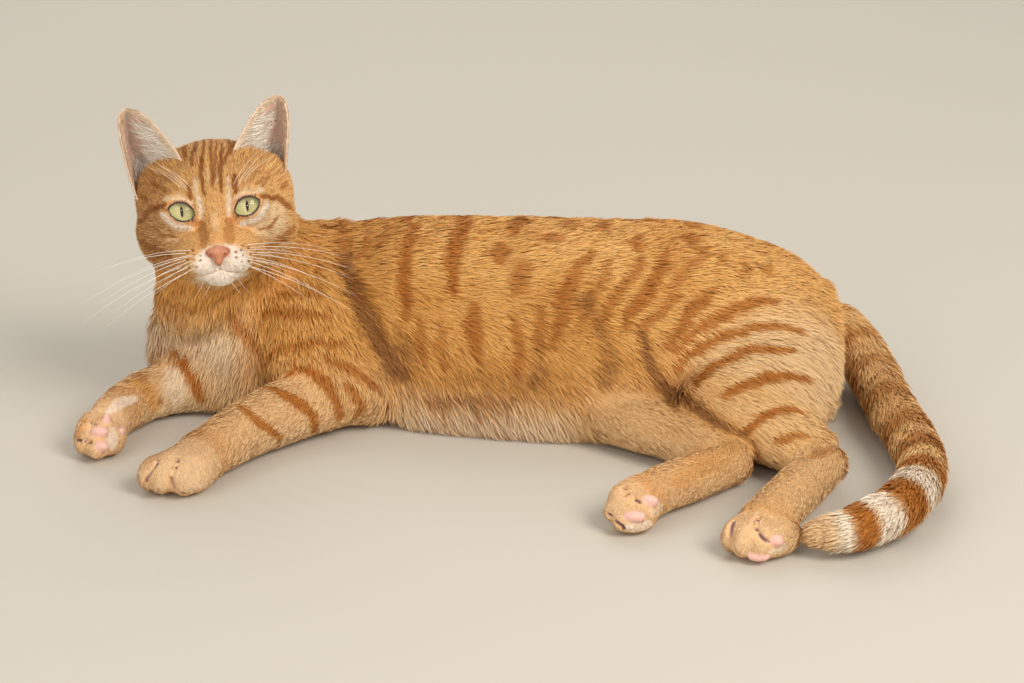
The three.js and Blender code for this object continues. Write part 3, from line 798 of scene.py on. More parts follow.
def ring_quads(rings: int, sides: int) -> Array:
    """Quads between closed rings of vertices that follow each other."""
    index = np.arange(rings * sides).reshape(rings, sides)
    after = np.roll(index, -1, axis=1)
    return np.stack([index[:-1], after[:-1], after[1:], index[1:]], -1).reshape(-1, 4)


def field_grid(measure: Callable[[Array], Array], low: Array, high: Array, step: float) -> Array:
    """The values of a distance on a regular grid between two corners, in slabs."""
    axes = [np.arange(a, b + step, step) for a, b in zip(low, high)]
    values = np.empty([len(a) for a in axes])
    for i, x in enumerate(axes[0]):
        y, z = np.meshgrid(axes[1], axes[2], indexing="ij")
        p = np.column_stack([np.full(y.size, x), y.ravel(), z.ravel()])
        values[i] = measure(p).reshape(y.shape)
    return values


def vertex_normals(vertices: Array, faces: Array) -> Array:
    """Normals at the vertices of a mesh of quads or triangles, as sums of their faces' normals."""
    if faces.shape[1] == 4:
        n = np.cross(vertices[faces[:, 2]] - vertices[faces[:, 0]],
                     vertices[faces[:, 3]] - vertices[faces[:, 1]])
    else:
        n = np.cross(vertices[faces[:, 1]] - vertices[faces[:, 0]],
                     vertices[faces[:, 2]] - vertices[faces[:, 0]])
    out = np.zeros_like(vertices)
    for k in range(faces.shape[1]):
        for axis in range(3):
            out[:, axis] += np.bincount(faces[:, k], n[:, axis], len(vertices))
    return unit(out)


def pour(data: bpy.types.bpy_prop_collection, key: str, rows: Array, kind: type = np.float32) -> None:
    """Puts an array into one property of a collection."""
    data.foreach_set(key, np.asarray(rows).astype(kind).ravel())


def drawn(data: bpy.types.bpy_prop_collection, key: str, width: int = 1, kind: type = np.float32) -> Array:
    """One property of a collection as rows of width numbers."""
    flat = np.empty(len(data) * width, kind)
    data.foreach_get(key, flat)
    return flat.reshape(-1, width) if width > 1 else flat


def new_piece(name: str, vertices: Array, faces: Array) -> Piece:
    """A smooth-shaded mesh object at the origin from millimetre vertices and equal-sized faces.

    Args:
        name: the piece's name.
        vertices: rows of x, y, z in millimetres.
        faces: rows of vertex indices, three or four a row.

    Returns:
        The object, linked to the scene.
    """
    mesh = bpy.data.meshes.new(name)
    size = faces.shape[1]
    mesh.vertices.add(len(vertices))
    pour(mesh.vertices, "co", vertices * MM)
    mesh.loops.add(faces.size)
    pour(mesh.loops, "vertex_index", faces, np.int32)
    mesh.polygons.add(len(faces))
    pour(mesh.polygons, "loop_start", np.arange(0, faces.size, size), np.int32)
    pour(mesh.polygons, "use_smooth", np.ones(len(faces)), bool)
    mesh.update(calc_edges=True)
    mesh.validate()
    piece = bpy.data.objects.new(name, mesh)
    bpy.context.scene.collection.objects.link(piece)
    return piece


def read_vertices(mesh: Mesh) -> Array:
    """A mesh's vertices as rows, in millimetres."""
    return drawn(mesh.vertices, "co", 3).astype(float) / MM


def write_vertices(mesh: Mesh, vertices: Array) -> None:
    """Puts millimetre rows back as a mesh's vertices."""
    pour(mesh.vertices, "co", vertices * MM)
    mesh.update()


def put_marks(mesh: Mesh, marks: Array) -> None:
    """Stores stripe, pale, bare and tone as the red, green, blue and alpha of a vertex attribute."""
    pour(mesh.attributes.new("marks", "FLOAT_COLOR", "POINT").data, "color", marks)


# ---- markings


@dataclass(frozen=True)
class Stroke:
    """A painted line: a run of points, half its width and its strength.

    On the face the points are x and y of the head's frame, seen from the front; on the body they
    are x, y and z of the body's frame, or pairs across and down the picture, cast onto the skin.
    """

    path: Path
    wide: float
    strong: float = 1.0


def strokes(*rows: Tuple) -> Tuple[Stroke, ...]:
    """Strokes from rows of half width, strength and then the places of the path."""
    return tuple(Stroke(tuple(path), wide, strong) for wide, strong, *path in rows)


def mirrored(*rows: Tuple) -> Tuple[Stroke, ...]:
    """The strokes of the rows on the cat's left of the face, and their mirror images on its right."""
    left = strokes(*rows)
    return left + tuple(Stroke(tuple((-x, y) for x, y in s.path), s.wide, s.strong) for s in left)


FACE_STRIPES = strokes(
    (0.9, 0.75, (1, 46), (1, 38), (1, 26), (0, 13)), (0.8, 0.7, (4, 38), (3, 26), (1, 14)),
    (1.0, 1.0, (-3, 40), (-4, 30), (-6, 22), (-5, 9)), (1.0, 1.0, (7, 36), (6, 26), (5, 20), (5, 9)),
    (1.3, 0.9, (-13, 15), (-13, 7)), (1.4, 0.95, (13, 18), (13, 8)),
    (1.2, 0.9, (-7, 40), (-9, 32), (-10, 26)), (1.2, 0.8, (-14, 38), (-14, 30)),
    (1.2, 0.9, (10, 39), (12, 34), (8, 27)), (1.3, 0.8, (15, 39), (14, 33)),
) + mirrored(
    (1.5, 0.95, (27.5, 5), (36, 3), (43, -4)), (0.9, 0.6, (36, -7), (31, -12), (24, -14)),
    (1.6, 0.5, (43, -14), (36, -20), (28, -25)), (1.5, 0.5, (38, 8), (42, 12)),
    (2.6, 0.45, (7.5, -7), (7, -14), (7.5, -20)), (1.4, 0.35, (24, 12), (32, 16)),
    (1.2, 0.3, (20, 13), (25, 20)),
)
FACE_PALE = mirrored(
    (2.6, 0.75, (8.5, 8), (8, -4)), (3.0, 0.85, (30, 0), (24, -7), (14, -10)),
    (2.2, 0.6, (28, 8), (19, 8.5), (12, 5)), (2.0, 0.6, (9, 18), (9.5, 8)),
    (2.2, 0.45, (36, -8), (29, -14), (22, -17)), (1.0, 0.4, (2, 24), (2.5, 12)),
    (2.0, 0.35, (34, -18), (26, -22)), (2.6, 0.35, (0.5, -2), (0.5, -12)),
)
WHISKER_ROOTS = (
    (14, -22), (13, -24.5), (17, -23.5), (10, -25), (21, -26.5), (17.5, -27), (13.5, -27.5), (10, -28),
    (21, -30.5), (16.5, -31), (12.5, -31.5), (18, -34))

# Strokes are paths of places, each x, y, z in mm or, in pairs, across and down the picture.
# Stripes down the near flank, and spots along the back.
FLANK_STRIPES = strokes(
    (4, 0.75, (-98, 27, 104), (345, 228), (341, 262)),
    (3, 0.65, (-80, 16, 108), (-82, -4, 100), (-85, -14, 93)), (4, 0.6, (-68, 18, 110), (-70, 6, 108)),
    (3.5, 0.6, (-74, -2, 103), (-74, -12, 98)),
    (3.8, 1.0, (-53, 22, 111), (410, 235), (405, 262), (405, 285), (408, 318)),
    (3, 0.75, (421, 322), (420, 340), (424, 360)), (3, 0.65, (441, 322), (441, 350), (445, 370)),
    (4.5, 1.0, (-22, 24, 113), (458, 238), (451, 262), (455, 296)),
    (4.5, 0.9, (475, 308), (473, 330), (480, 358)), (5.5, 0.85, (516, 222), (516, 234)),
    (5.5, 0.9, (500, 248), (500, 262)), (6, 0.8, (523, 266), (518, 292)),
    (3.5, 0.8, (515, 320), (520, 340), (518, 372)), (3, 0.75, (540, 312), (541, 350)),
    (4.5, 0.8, (545, 240), (560, 240)), (4, 0.85, (590, 255), (572, 280), (562, 310), (552, 345)),
    (3, 0.7, (600, 282), (586, 312), (576, 332)), (5, 0.6, (38, 14, 113), (36, 4, 113)),
    (5, 0.9, (58, 14, 112), (602, 232)), (5, 0.9, (79, -4, 107), (79, -14, 105)),
    (4.5, 0.7, (655, 226), (89, 12, 108)), (3.2, 0.7, (610, 262), (602, 284), (588, 304), (578, 330)),
    (3.4, 0.8, (642, 262), (630, 280), (612, 304), (598, 328)),
    (3.6, 0.95, (668, 252), (660, 270), (650, 290), (632, 312), (622, 332)),
    (3.4, 0.7, (696, 262), (682, 276), (670, 290)),
    (3.4, 0.8, (680, 296), (660, 310), (648, 322), (640, 334)), (6, 0.9, (110, 6, 107), (110, -3, 106)),
    (4, 0.7, (117, -8, 103), (117, -14, 101)), (4.5, 0.7, (129, -7, 100), (128, -13, 98)),
    (4.5, 0.6, (143, -10, 95), (143, -16, 92)), (4.5, 0.7, (156, -3, 93), (155, -10, 90)),
    (5, 0.7, (750, 242), (147, 14, 98)), (3.6, 0.9, (712, 290), (694, 308), (680, 328), (664, 346)),
    (3.6, 0.9, (776, 303), (755, 303), (738, 309), (722, 318), (700, 330), (676, 350)),
    (3.4, 0.9, (800, 332), (760, 329), (742, 333), (708, 346), (690, 357), (676, 372)),
    (3.4, 0.95, (790, 352), (755, 351), (722, 363), (706, 374), (697, 388)),
    (3.4, 1.0, (805, 380), (785, 378), (760, 381), (740, 389), (722, 398)),
)
# Stripes of the legs, the shoulder and the breast.
LIMB_STRIPES = strokes(
    (3.2, 1.0, (806, 418), (795, 412), (775, 413), (760, 419), (746, 432)),
    (2.6, 0.8, (810, 436), (790, 438), (776, 441)), (3.5, 0.5, (186, -118, 22), (177, -134, 30)),
    (2.4, 0.9, (-149, -99, 36), (-138, -108, 30), (-124, -99, 13)),
    (3, 0.95, (-138, -77, 40), (-122, -86, 36), (-107, -84, 23), (-106, -80, 8)),
    (3, 0.95, (-131, -66, 42), (-117, -65, 45), (-104, -70, 40), (-96, -74, 31), (-92, -73, 14)),
    (2.6, 0.9, (325, 360), (348, 370), (380, 392)),
    (2.8, 0.85, (345, 384), (-82, -64, 22), (-84, -64, 10)),
    (2.8, 0.8, (-141, -48, 38), (-132, -54, 50), (-123, -58, 55), (345, 344)),
    (3, 0.8, (-140, -40, 65), (-119, -45, 71), (-101, -46, 70)),
    (3, 0.6, (-134, -40, 82), (-108, -38, 84)),
    (3.5, 1.0, (-197, -43, 41), (-183, -50, 34), (-175, -46, 12)),
    (2.5, 0.5, (-216, -48, 36), (-205, -60, 32)),
    (4, 0.7, (-162, -44, 68), (-152, -45, 58), (-141, -46, 44)),
)
# Places where the coat is darkened as painted shade in creases, folds and under the chin, partly browner hair
# there, and pale patches of the feet.
SHADES = strokes(
    (8, 0.75, (-92, -10, 96), (350, 270), (360, 300), (375, 330), (385, 350), (-60, -54, 36)),
    (4.5, 0.8, (640, 330), (648, 356), (660, 384), (672, 390), (694, 405), (716, 422), (742, 436),
     (758, 452)), (3.5, 0.5, (430, 402), (470, 402), (510, 404)), (2.5, 0.5, (446, 408), (447, 420)),
    (2.5, 0.5, (482, 406), (483, 418)), (7, 0.4, (48, -44, 86), (598, 328), (63, -61, 54), (60, -63, 40)),
    (6, 0.3, (20, -56, 66), (24, -60, 50), (20, -62, 36)), (7, 0.3, (-62, -50, 66), (-56, -57, 48)),
    (5, 0.25, (-150, -20, 92), (-172, -34, 84), (-190, -32, 80)),
    (1.6, 1.0, (-198, -60, 18), (-197, -60, 14)),
)
PATCHES = strokes(
    (3.8, 0.8, (-226, -93, 25), (-219.7, -84, 26.4), (-213, -72, 24.5)),
    (4.5, 0.8, (-223, -104, 17), (-221, -110, 9)), (9, 0.6, (-194, -52, 34), (-186, -56, 16)),
    (3.5, 0.8, (74, -192, 6), (84, -184, 8)), (3, 0.6, (90, -172, 12), (84, -182, 12)),
    (3.5, 0.7, (150, -216, 8), (157, -212, 10)), (3, 0.6, (-170, -161, 7), (-160, -152, 8)),
)
ORANGE = strokes(
    (7, 1.0, (-214, -60, 30), (-206, -62, 24), (-202, -62, 14)),
    (4, 0.7, (-236, -100, 21), (-240, -106, 14)),
    (8, 0.7, (100, -160, 22), (116, -140, 24), (136, -116, 24)),
)
# Rings of the tail: place along it, half width and strength.
TAIL_RINGS = (
    (0.1, 0.018, 0.5), (0.2, 0.018, 0.55), (0.3, 0.018, 0.5), (0.4, 0.018, 0.6), (0.49, 0.02, 0.7),
    (0.58, 0.022, 0.8), (0.67, 0.024, 0.95), (0.79, 0.034, 1.0), (0.9, 0.026, 1.0), (1.0, 0.03, 0.2))


class Mark(IntEnum):
    """Which number of the marks attribute holds what."""

    STRIPE = 0
    PALE = 1
    BARE = 2
    TONE = 3


class Markings:
    """Where the coat is striped, pale or bare and how light it is, from strokes and soft zones."""

    def __init__(self, body: Body) -> None:
        """Keeps the names of the body's forms, and lays the strokes of the body on its skin."""
        self.body, self.names = body, body.names
        self.ridge = 12.0
        self.flank, self.limbs, self.shades, self.patches, self.orange = (
            [self._settled(body, path, s) for path, s in zip(body.placed([s.path for s in strokes]), strokes)]
            for strokes in (FLANK_STRIPES, LIMB_STRIPES, SHADES, PATCHES, ORANGE))

    def _settled(self, body: Body, path: Array, stroke: Stroke) -> Stroke:
        """A stroke with points about 5 mm apart on a smooth run, moved down onto the skin."""
        length = np.linalg.norm(np.diff(path, axis=0), axis=1).sum()
        run = smooth_run(path, np.linspace(0, 1, max(3, int(length / 5))))
        return Stroke(body.onto(run, 5), stroke.wide, stroke.strong)

    def measure(self, p: Array, survey: Survey) -> Array:
        """Stripe, pale, bare and tone, each from 0 to 1, for rows of points.

        The points are first moved by noise, which frays every edge. A far-side point takes the
        stripes of the near flank at its mirror image.
        """
        q = p + 1.7 * np.column_stack([lattice_noise(p, 9, s) for s in (1, 2, 3)])
        part = {n: survey.weights[:, k] for k, n in enumerate(self.names)}
        head = part["head"]
        flank = self._mirrored(q)
        stripe = self._strokes(flank, self.flank) * (1 - head)
        stripe = np.maximum(stripe, self._strokes(q, self.limbs) * (1 - head))
        ring = np.zeros(len(p))
        for at, wide, strong in TAIL_RINGS:
            place = survey.place + 0.006 * lattice_noise(p, 7, 4)
            ring = np.maximum(ring, strong * ease(np.abs(place - at), wide * 1.35, wide * 0.6))
        stripe = np.maximum(stripe, ring * part["tail"])
        pale = self._pale(q, survey, part)
        face_stripe, face_pale, dark = self._face(p)
        stripe = np.maximum(stripe, face_stripe * ease(head, 0.2, 0.7))
        pale = np.maximum(pale, face_pale * ease(head, 0.2, 0.7))
        pale = np.maximum(pale, self._strokes(q, self.patches))
        tone = 0.60 + 0.16 * lattice_noise(p, 40, 5) + 0.10 * lattice_noise(p, 13, 6)
        tone = tone + 0.2 * ease(p[:, 0], 90, 140) - 0.25 * ease(q[:, 2], 62, 30) * part["trunk"]
        # The shade strokes are painted shade of creases and folds: they lower the tone and take paleness out.
        shade = self._strokes(flank, self.shades, 1)
        tone = tone - 0.9 * shade
        face = HEAD.inward(p)
        # Painted shade: the cat's right side of the head, away from the key lamp, is darkened; the forehead
        # is a little darker as well.
        tone = tone - head * (0.4 * ease(face[:, 0], -20, -38) + 0.12 * ease(face[:, 1], 8, 20))
        pale = pale * (1 - 0.8 * self._strokes(q, self.orange, 1)) * (1 - 0.7 * shade)
        pale = pale * (1 - 0.75 * stripe * (1 - head))
        loin = ease(q[:, 0], -70, -40) * ease(q[:, 0], 90, 60)
        tone = tone - 0.4 * head * stripe + 0.2 * ease(q[:, 2], 82, 96) * loin
        # The gaps between the toes are darkened to the bare dark: painted shade in their recesses.
        dark = np.maximum(dark, 0.85 * ease(self.body.gap_distance(p), 1.35, 0.7))
        bare = np.maximum(self._pads(p), dark)
        tone = np.where(bare > dark, 0.92, tone)
        tone = np.where(dark > 0.3, 1 - dark, tone)
        return np.clip(np.column_stack([stripe, pale, bare, tone]), 0, 1)

    def _mirrored(self, q: Array) -> Array:
        """Points of the far side moved to their mirror image on the near side."""
        out = q.copy()
        out[:, 1] = np.where(q[:, 1] > self.ridge, 2 * self.ridge - q[:, 1], q[:, 1])
        far = q[:, 1] > self.ridge
        out[:, 0] += np.where(far, 7 * lattice_noise(q, 60, 9), 0)
        return out

    def _strokes(self, q: Array, strokes: Sequence[Stroke], soft: float = 0.0) -> Array:
        """The strongest of the strokes at each point, with an eased edge, or one faded all the way."""
        out = np.zeros(len(q))
        for stroke in strokes:
            line = np.array(stroke.path, float)
            near = within(q, line.min(0) - REACH, line.max(0) + REACH)
            if near.any():
                gap, place = path_distance(q[near], stroke.path)
                wide = stroke.wide * (1.15 - 0.45 * np.abs(2 * place - 1) ** 2)
                out[near] = np.maximum(out[near], stroke.strong * ease(gap / wide, 1.4, 0.6 * (1 - soft)))
        return out

    def _pale(self, q: Array, survey: Survey, part: Dict[str, Array]) -> Array:
        """The pale under parts: belly, breast, the insides of the legs, feet and the tail's foot."""
        front = part["trunk"] + part["neck"] + part["ruff"]
        pale = 0.6 * ease(q[:, 2], 36, 8) * front
        breast = ease(q[:, 0], -132, -166) * ease(q[:, 2], 76, 44) * front
        pale = np.maximum(pale, 0.62 * breast)
        for name, most in (("foreleg_left", 0.4), ("foreleg_right", 0.5), ("shank_left", 0.35),
                           ("shank_right", 0.35), ("thigh", 0.5), ("hind_left", 0.35), ("hind_right", 0.35)):
            pale = np.maximum(pale, most * part[name] * (0.75 + 0.25 * ease(q[:, 2], 30, 8)))
        for name, most in (("forepaw_left", 0.5), ("forepaw_right", 0.45), ("hindfoot_left", 0.45),
                           ("hindfoot_right", 0.45)):
            pale = np.maximum(pale, most * part[name])
        tail = 0.12 + 0.7 * ease(survey.place, 0.62, 0.74) * (1 - 0.4 * ease(survey.place, 0.945, 0.975))
        return np.maximum(pale, part["tail"] * tail)

    def _face(self, p: Array) -> Tuple[Array, Array, Array]:
        """Stripes and pale parts of the face, and its dark rims, from strokes seen from the front."""
        q = HEAD.inward(p)
        flat = q[:, :2] + 0.75 * np.column_stack([lattice_noise(p, 4.5, 11), lattice_noise(p, 4.5, 12)])
        front = ease(q[:, 2], -52, -30)
        stripe = self._strokes(flat, FACE_STRIPES) * front
        pale = self._strokes(flat, FACE_PALE, 1) * front
        x, y = np.abs(flat[:, 0]), flat[:, 1]
        reach = np.where(flat[:, 0] > 0, 19, 15.5)
        muzzle = ease(np.hypot(x / reach, (y + 31.5) / 12.5), 1.15, 0.75) * ease(q[:, 2], -14, 2)
        chin = ease(np.hypot(x / 22, (y + 44) / 12), 1.1, 0.7)
        cheek = ease(np.hypot((np.abs(flat[:, 0]) - 30) / 14, (y + 9) / 15), 1.1, 0.5)
        # Both cheeks are pale; the extra paleness of the cat's left cheek, on the key lamp's side, is painted
        # light.
        cheek = cheek * np.where(flat[:, 0] > 0, 0.5, 0.22)
        pale = np.maximum.reduce([pale, muzzle, chin * ease(q[:, 2], -40, -12), cheek, np.full(len(x), 0.12)])
        value, _, b = LIDS.measure(q)
        rim = ease(value, 1.9, 0.9) * (q[:, 2] > -14)
        tear = line_distance(folded(q), TEAR_LINE)
        ahead = q[:, 2] > -2
        dark = np.maximum.reduce([rim, 0.9 * ease(tear, 1.5, 0.6) * ahead,
                                  0.3 * ease(mouth_distance(q), 0.7, 0.25) * ahead])
        for spot in WHISKER_ROOTS:
            gap = np.hypot(x - spot[0], y - spot[1])
            stripe = np.maximum(stripe, 0.9 * ease(gap, 1.0, 0.4) * ahead)
        return stripe, pale, dark

    def _pads(self, p: Array) -> Array:
        """How bare the skin is over the pads of the feet."""
        bare = np.zeros(len(p))
        for middle, radii in self.body.pads:
            near = np.all(np.abs(p - middle) < REACH, axis=1)
            if near.any():
                gap = ovoid_distance(p[near], middle, np.array(radii))
                bare[near] = np.maximum(bare[near], ease(gap, 0.7, 0.1))
        return bare


# ---- skin


@dataclass
class Skin:
    """One skin over all the flesh: the body's field as a mesh, finer where the form is fine."""

    body: Body
    markings: Markings
    step: float = 3.1
    low: Triple = (-262, -236, -3)
    high: Triple = (262, 108, 182)

    def build(self) -> Piece:
        """Meshes the field, refines it in three rounds and settles it.

        Returns:
            The net of the body and head, without ears or markings.
        """
        low, high = np.array(self.low, float), np.array(self.high, float)
        values = field_grid(self.body.field, low, high, self.step)
        vertices, quads = surface_nets(values, low, self.step)
        piece = new_piece("skin", vertices, quads)
        log.info("skin net: %d vertices", len(vertices))
        write_vertices(piece.data, self.body.onto(vertices, 2))
        for level in range(3):
            self._refine(piece.data, level)
            write_vertices(piece.data, self.body.onto(read_vertices(piece.data), 1))
        return piece

    def _wanted(self, p: Array, level: int) -> Array:
        """Which points lie where a level of refinement is wanted: head and feet, face, eyes."""
        q = HEAD.inward(p)
        ahead = (np.abs(q[:, 0]) < 52) & (q[:, 1] > -52) & (q[:, 2] > -84)
        if level == 0:
            feet = np.zeros(len(p), bool)
            for form in self.body.forms:
                if isinstance(form, Cluster) and form.name != "ruff":
                    feet |= np.linalg.norm(p - form.heart, axis=1) < 32
            return ahead | feet
        gap = self.body.gap_distance(p)
        if level == 1:
            return (np.abs(q[:, 0]) < 34) & (np.abs(q[:, 1] + 14) < 34) & (q[:, 2] > -18) | (gap < 3.0)
        value = LIDS.measure(q)[0]
        return (q[:, 2] > -16) & ((np.abs(value) < 2.6) | (mouth_distance(q) < 2.2)) | (gap < 1.5)

    def _refine(self, mesh: Mesh, level: int) -> None:
        """Halves the edges that lie wholly where the level is wanted."""
        wanted = self._wanted(read_vertices(mesh), level)
        work = bmesh.new()
        work.from_mesh(mesh)
        work.verts.ensure_lookup_table()
        edges = [e for e in work.edges if wanted[e.verts[0].index] and wanted[e.verts[1].index]]
        bmesh.ops.subdivide_edges(work, edges=edges, cuts=1, use_grid_fill=True)
        many = [f for f in work.faces if len(f.verts) > 4]
        bmesh.ops.triangulate(work, faces=many)
        for face in work.faces:
            face.smooth = True
        work.to_mesh(mesh)
        work.free()

    def finish(self, piece: Piece, ears: Sequence[Tuple[Array, Array, Array]]) -> Piece:
        """Splits the skin into triangles, adds the ears and stores the markings.

        Args:
            piece: the net of the body and head.
            ears: vertices, triangles and marks of each ear.

        Returns:
            The whole skin as one new piece.
        """
        mesh = piece.data
        vertices = read_vertices(mesh)
        mesh.calc_loop_triangles()
        faces = drawn(mesh.loop_triangles, "vertices", 3, np.int32)
        bpy.data.objects.remove(piece)
        marks = self.markings.measure(vertices, self.body.survey(vertices))
        self.vertices, self.faces = vertices, faces
        for ear_vertices, ear_faces, ear_marks in ears:
            faces = np.vstack([faces, ear_faces + len(vertices)])
            vertices = np.vstack([vertices, ear_vertices])
            marks = np.vstack([marks, ear_marks])
        whole = new_piece("skin", vertices, faces)
        put_marks(whole.data, marks)
        log.info("skin: %d triangles", len(faces))
        return whole


# ---- ears


def bow(three: Sequence[Triple], s: Array) -> Array:
    """Points of the quadratic curve from the first to the last of three points, bent to the second."""
    a, b, c = (np.array(v, float) for v in three)
    s = s[..., None]
    return (1 - s) ** 2 * a + 2 * s * (1 - s) * b + s**2 * c


@dataclass
class Ear:
    """One ear: a cupped sheet between an inner edge, a back and an outer edge that meet in the tip.

    A point is back (1 - t^2) + inner (t^2 - t) / 2 + outer (t^2 + t) / 2, with s from root to tip and
    t from the inner edge, -1, to the outer edge, 1. The rows end short of the tip by a curve in t,
    which rounds it.
    """

    side: int
    rows: int = 40
    columns: int = 34
    root: float = -0.16
    thickness: float = 1.5

    def point(self, s: Array, t: Array, thick: Array) -> Array:
        """Points of the head's frame on the sheet, thick millimetres behind the cup."""
        s = s * (0.955 - 0.06 * np.abs(t) ** 2.4)
        inner = bow(EAR_INNER, s) - thick[..., None] * np.array([0.5, 0, 0])
        outer = bow(EAR_OUTER, s) + thick[..., None] * np.array([0.5, 0, 0])
        back = bow(EAR_BACK, s) - thick[..., None] * np.array([0, 0, 1])
        full = (1 + 0.35 * ease(s, 0.25, 0.9) * (1 / np.sqrt(1.02 - s) - 1))[..., None]
        middle = (inner + outer) / 2
        inner, outer = middle + (inner - middle) * full, middle + (outer - middle) * full
        t = t[..., None]
        out = back * (1 - t**2) + inner * (t**2 - t) / 2 + outer * (t**2 + t) / 2
        cup = ease(s, 0.62, 0.4)[..., None] * (thick < 1)[..., None]
        fold = 1.6 * np.exp(-(((t - 0.62) / 0.1) ** 2)) * cup
        out = out + fold * np.array([0.2, 0, 1])
        return out * np.array([self.side, 1, 1]) + np.array([EAR_SHIFT, 0, 0])

    def build(self) -> Tuple[Array, Array, Array]:
        """The ear's vertices in the world, its triangles and its marks."""
        rows = self.root + (1 - self.root) * np.sin(np.linspace(0, 1, self.rows) * np.pi / 2) ** 0.8
        s, t = np.meshgrid(rows, np.linspace(-1, 1, self.columns), indexing="ij")
        cup = self.point(s, t, np.full_like(s, 0.5))
        rear = self.point(s, t, np.full_like(s, 0.5 + self.thickness))
        count = s.size
        index = np.arange(count).reshape(s.shape)
        a, b, c, d = index[:-1, :-1], index[:-1, 1:], index[1:, 1:], index[1:, :-1]
        quads = np.stack([a, b, c, d], -1).reshape(-1, 4)
        rim = np.concatenate([index[0, :-1], index[:-1, -1], index[-1, :0:-1], index[:0:-1, 0]])
        after = np.roll(rim, -1)
        wall = np.stack([rim, rim + count, after + count, after], -1)
        quads = np.vstack([quads, quads[:, ::-1] + count, wall])
        if self.side < 0:
            quads = quads[:, ::-1]
        faces = np.vstack([quads[:, [0, 1, 2]], quads[:, [0, 2, 3]]])
        vertices = HEAD.outward(np.vstack([cup.reshape(-1, 3), rear.reshape(-1, 3)]))
        a, b, c = (vertices[faces[:, k]] for k in range(3))
        if np.einsum("ij,ij->", a, np.cross(b, c)) < 0:
            faces = faces[:, ::-1]
        return vertices, faces, self._marks(s.ravel(), t.ravel(), vertices)

    def _marks(self, s: Array, t: Array, vertices: Array) -> Array:
        """Bare pink in the cup, pale towards its inner edge, and coat colour behind and on the rim."""
        count = len(s)
        edge = ease(np.abs(t), 0.86, 1.0)
        inside = np.zeros((count, 4))
        inside[:, Mark.BARE] = 0.5 * (1 - edge)
        inside[:, Mark.PALE] = 0.9
        # The cup's flesh is a little darker towards its foot: painted shade.
        inside[:, Mark.TONE] = 0.85 + 0.15 * ease(s, 0.1, 0.7)
        outside = np.zeros((count, 4))
        outside[:, Mark.STRIPE] = 0.35 * ease(s, 0.9, 0.3)
        outside[:, Mark.PALE] = 0.7 * edge
        outside[:, Mark.TONE] = 0.5
        return np.vstack([inside, outside])


# ---- nose, eyes and whiskers


@dataclass
class Nose:
    """The bare nose: soft-joined ovoids with a nostril on each side and a cleft below."""

    step: float = 0.42

    def distance(self, q: Array) -> Array:
        """Distance in the head's frame: bulb, wings and lower wedge, less the nostrils and cleft."""
        side = folded(q)
        d = ovoid_distance(q, (0, -24.0, 17.4), np.array([5.0, 3.6, 4.8]))
        d = soft_minimum(d, ovoid_distance(side, (3.9, -24.4, 16.2), np.array([3.2, 2.8, 4.4])), 1.6)
        d = soft_minimum(d, ovoid_distance(q, (0, -28.2, 17.4), np.array([2.6, 3.6, 4.0])), 2.2)
        nostril = path_distance(side, ((3.5, -26.2, 23.5), (4.3, -25.8, 18.5), (6.6, -25.0, 18.2)))[0] - 0.95
        slit = path_distance(side, ((4.4, -26.4, 21.5), (7.4, -26.2, 18.0)))[0] - 0.45
        d = soft_maximum(d, -np.minimum(nostril, slit), 0.6)
        cleft = path_distance(q, ((0, -26.5, 22.4), (0, -32.5, 21)))[0]
        return d + 0.8 * np.exp(-((cleft / 0.6) ** 2))

    def build(self) -> Piece:
        """Meshes the nose and settles it on its surface."""
        low, high = np.array([-10, -35, 9.0]), np.array([10, -16, 26.0])
        values = field_grid(self.distance, low, high, self.step)
        vertices, quads = surface_nets(values, low, self.step)
        for _ in range(2):
            g = np.column_stack([(self.distance(vertices + e) - self.distance(vertices - e)) / 0.4
                                 for e in 0.2 * np.eye(3)])
            steep = np.maximum((g**2).sum(1), 0.2)[:, None]
            vertices = vertices - self.distance(vertices)[:, None] * g / steep
        return new_piece("nose_leather", HEAD.outward(vertices), quads)


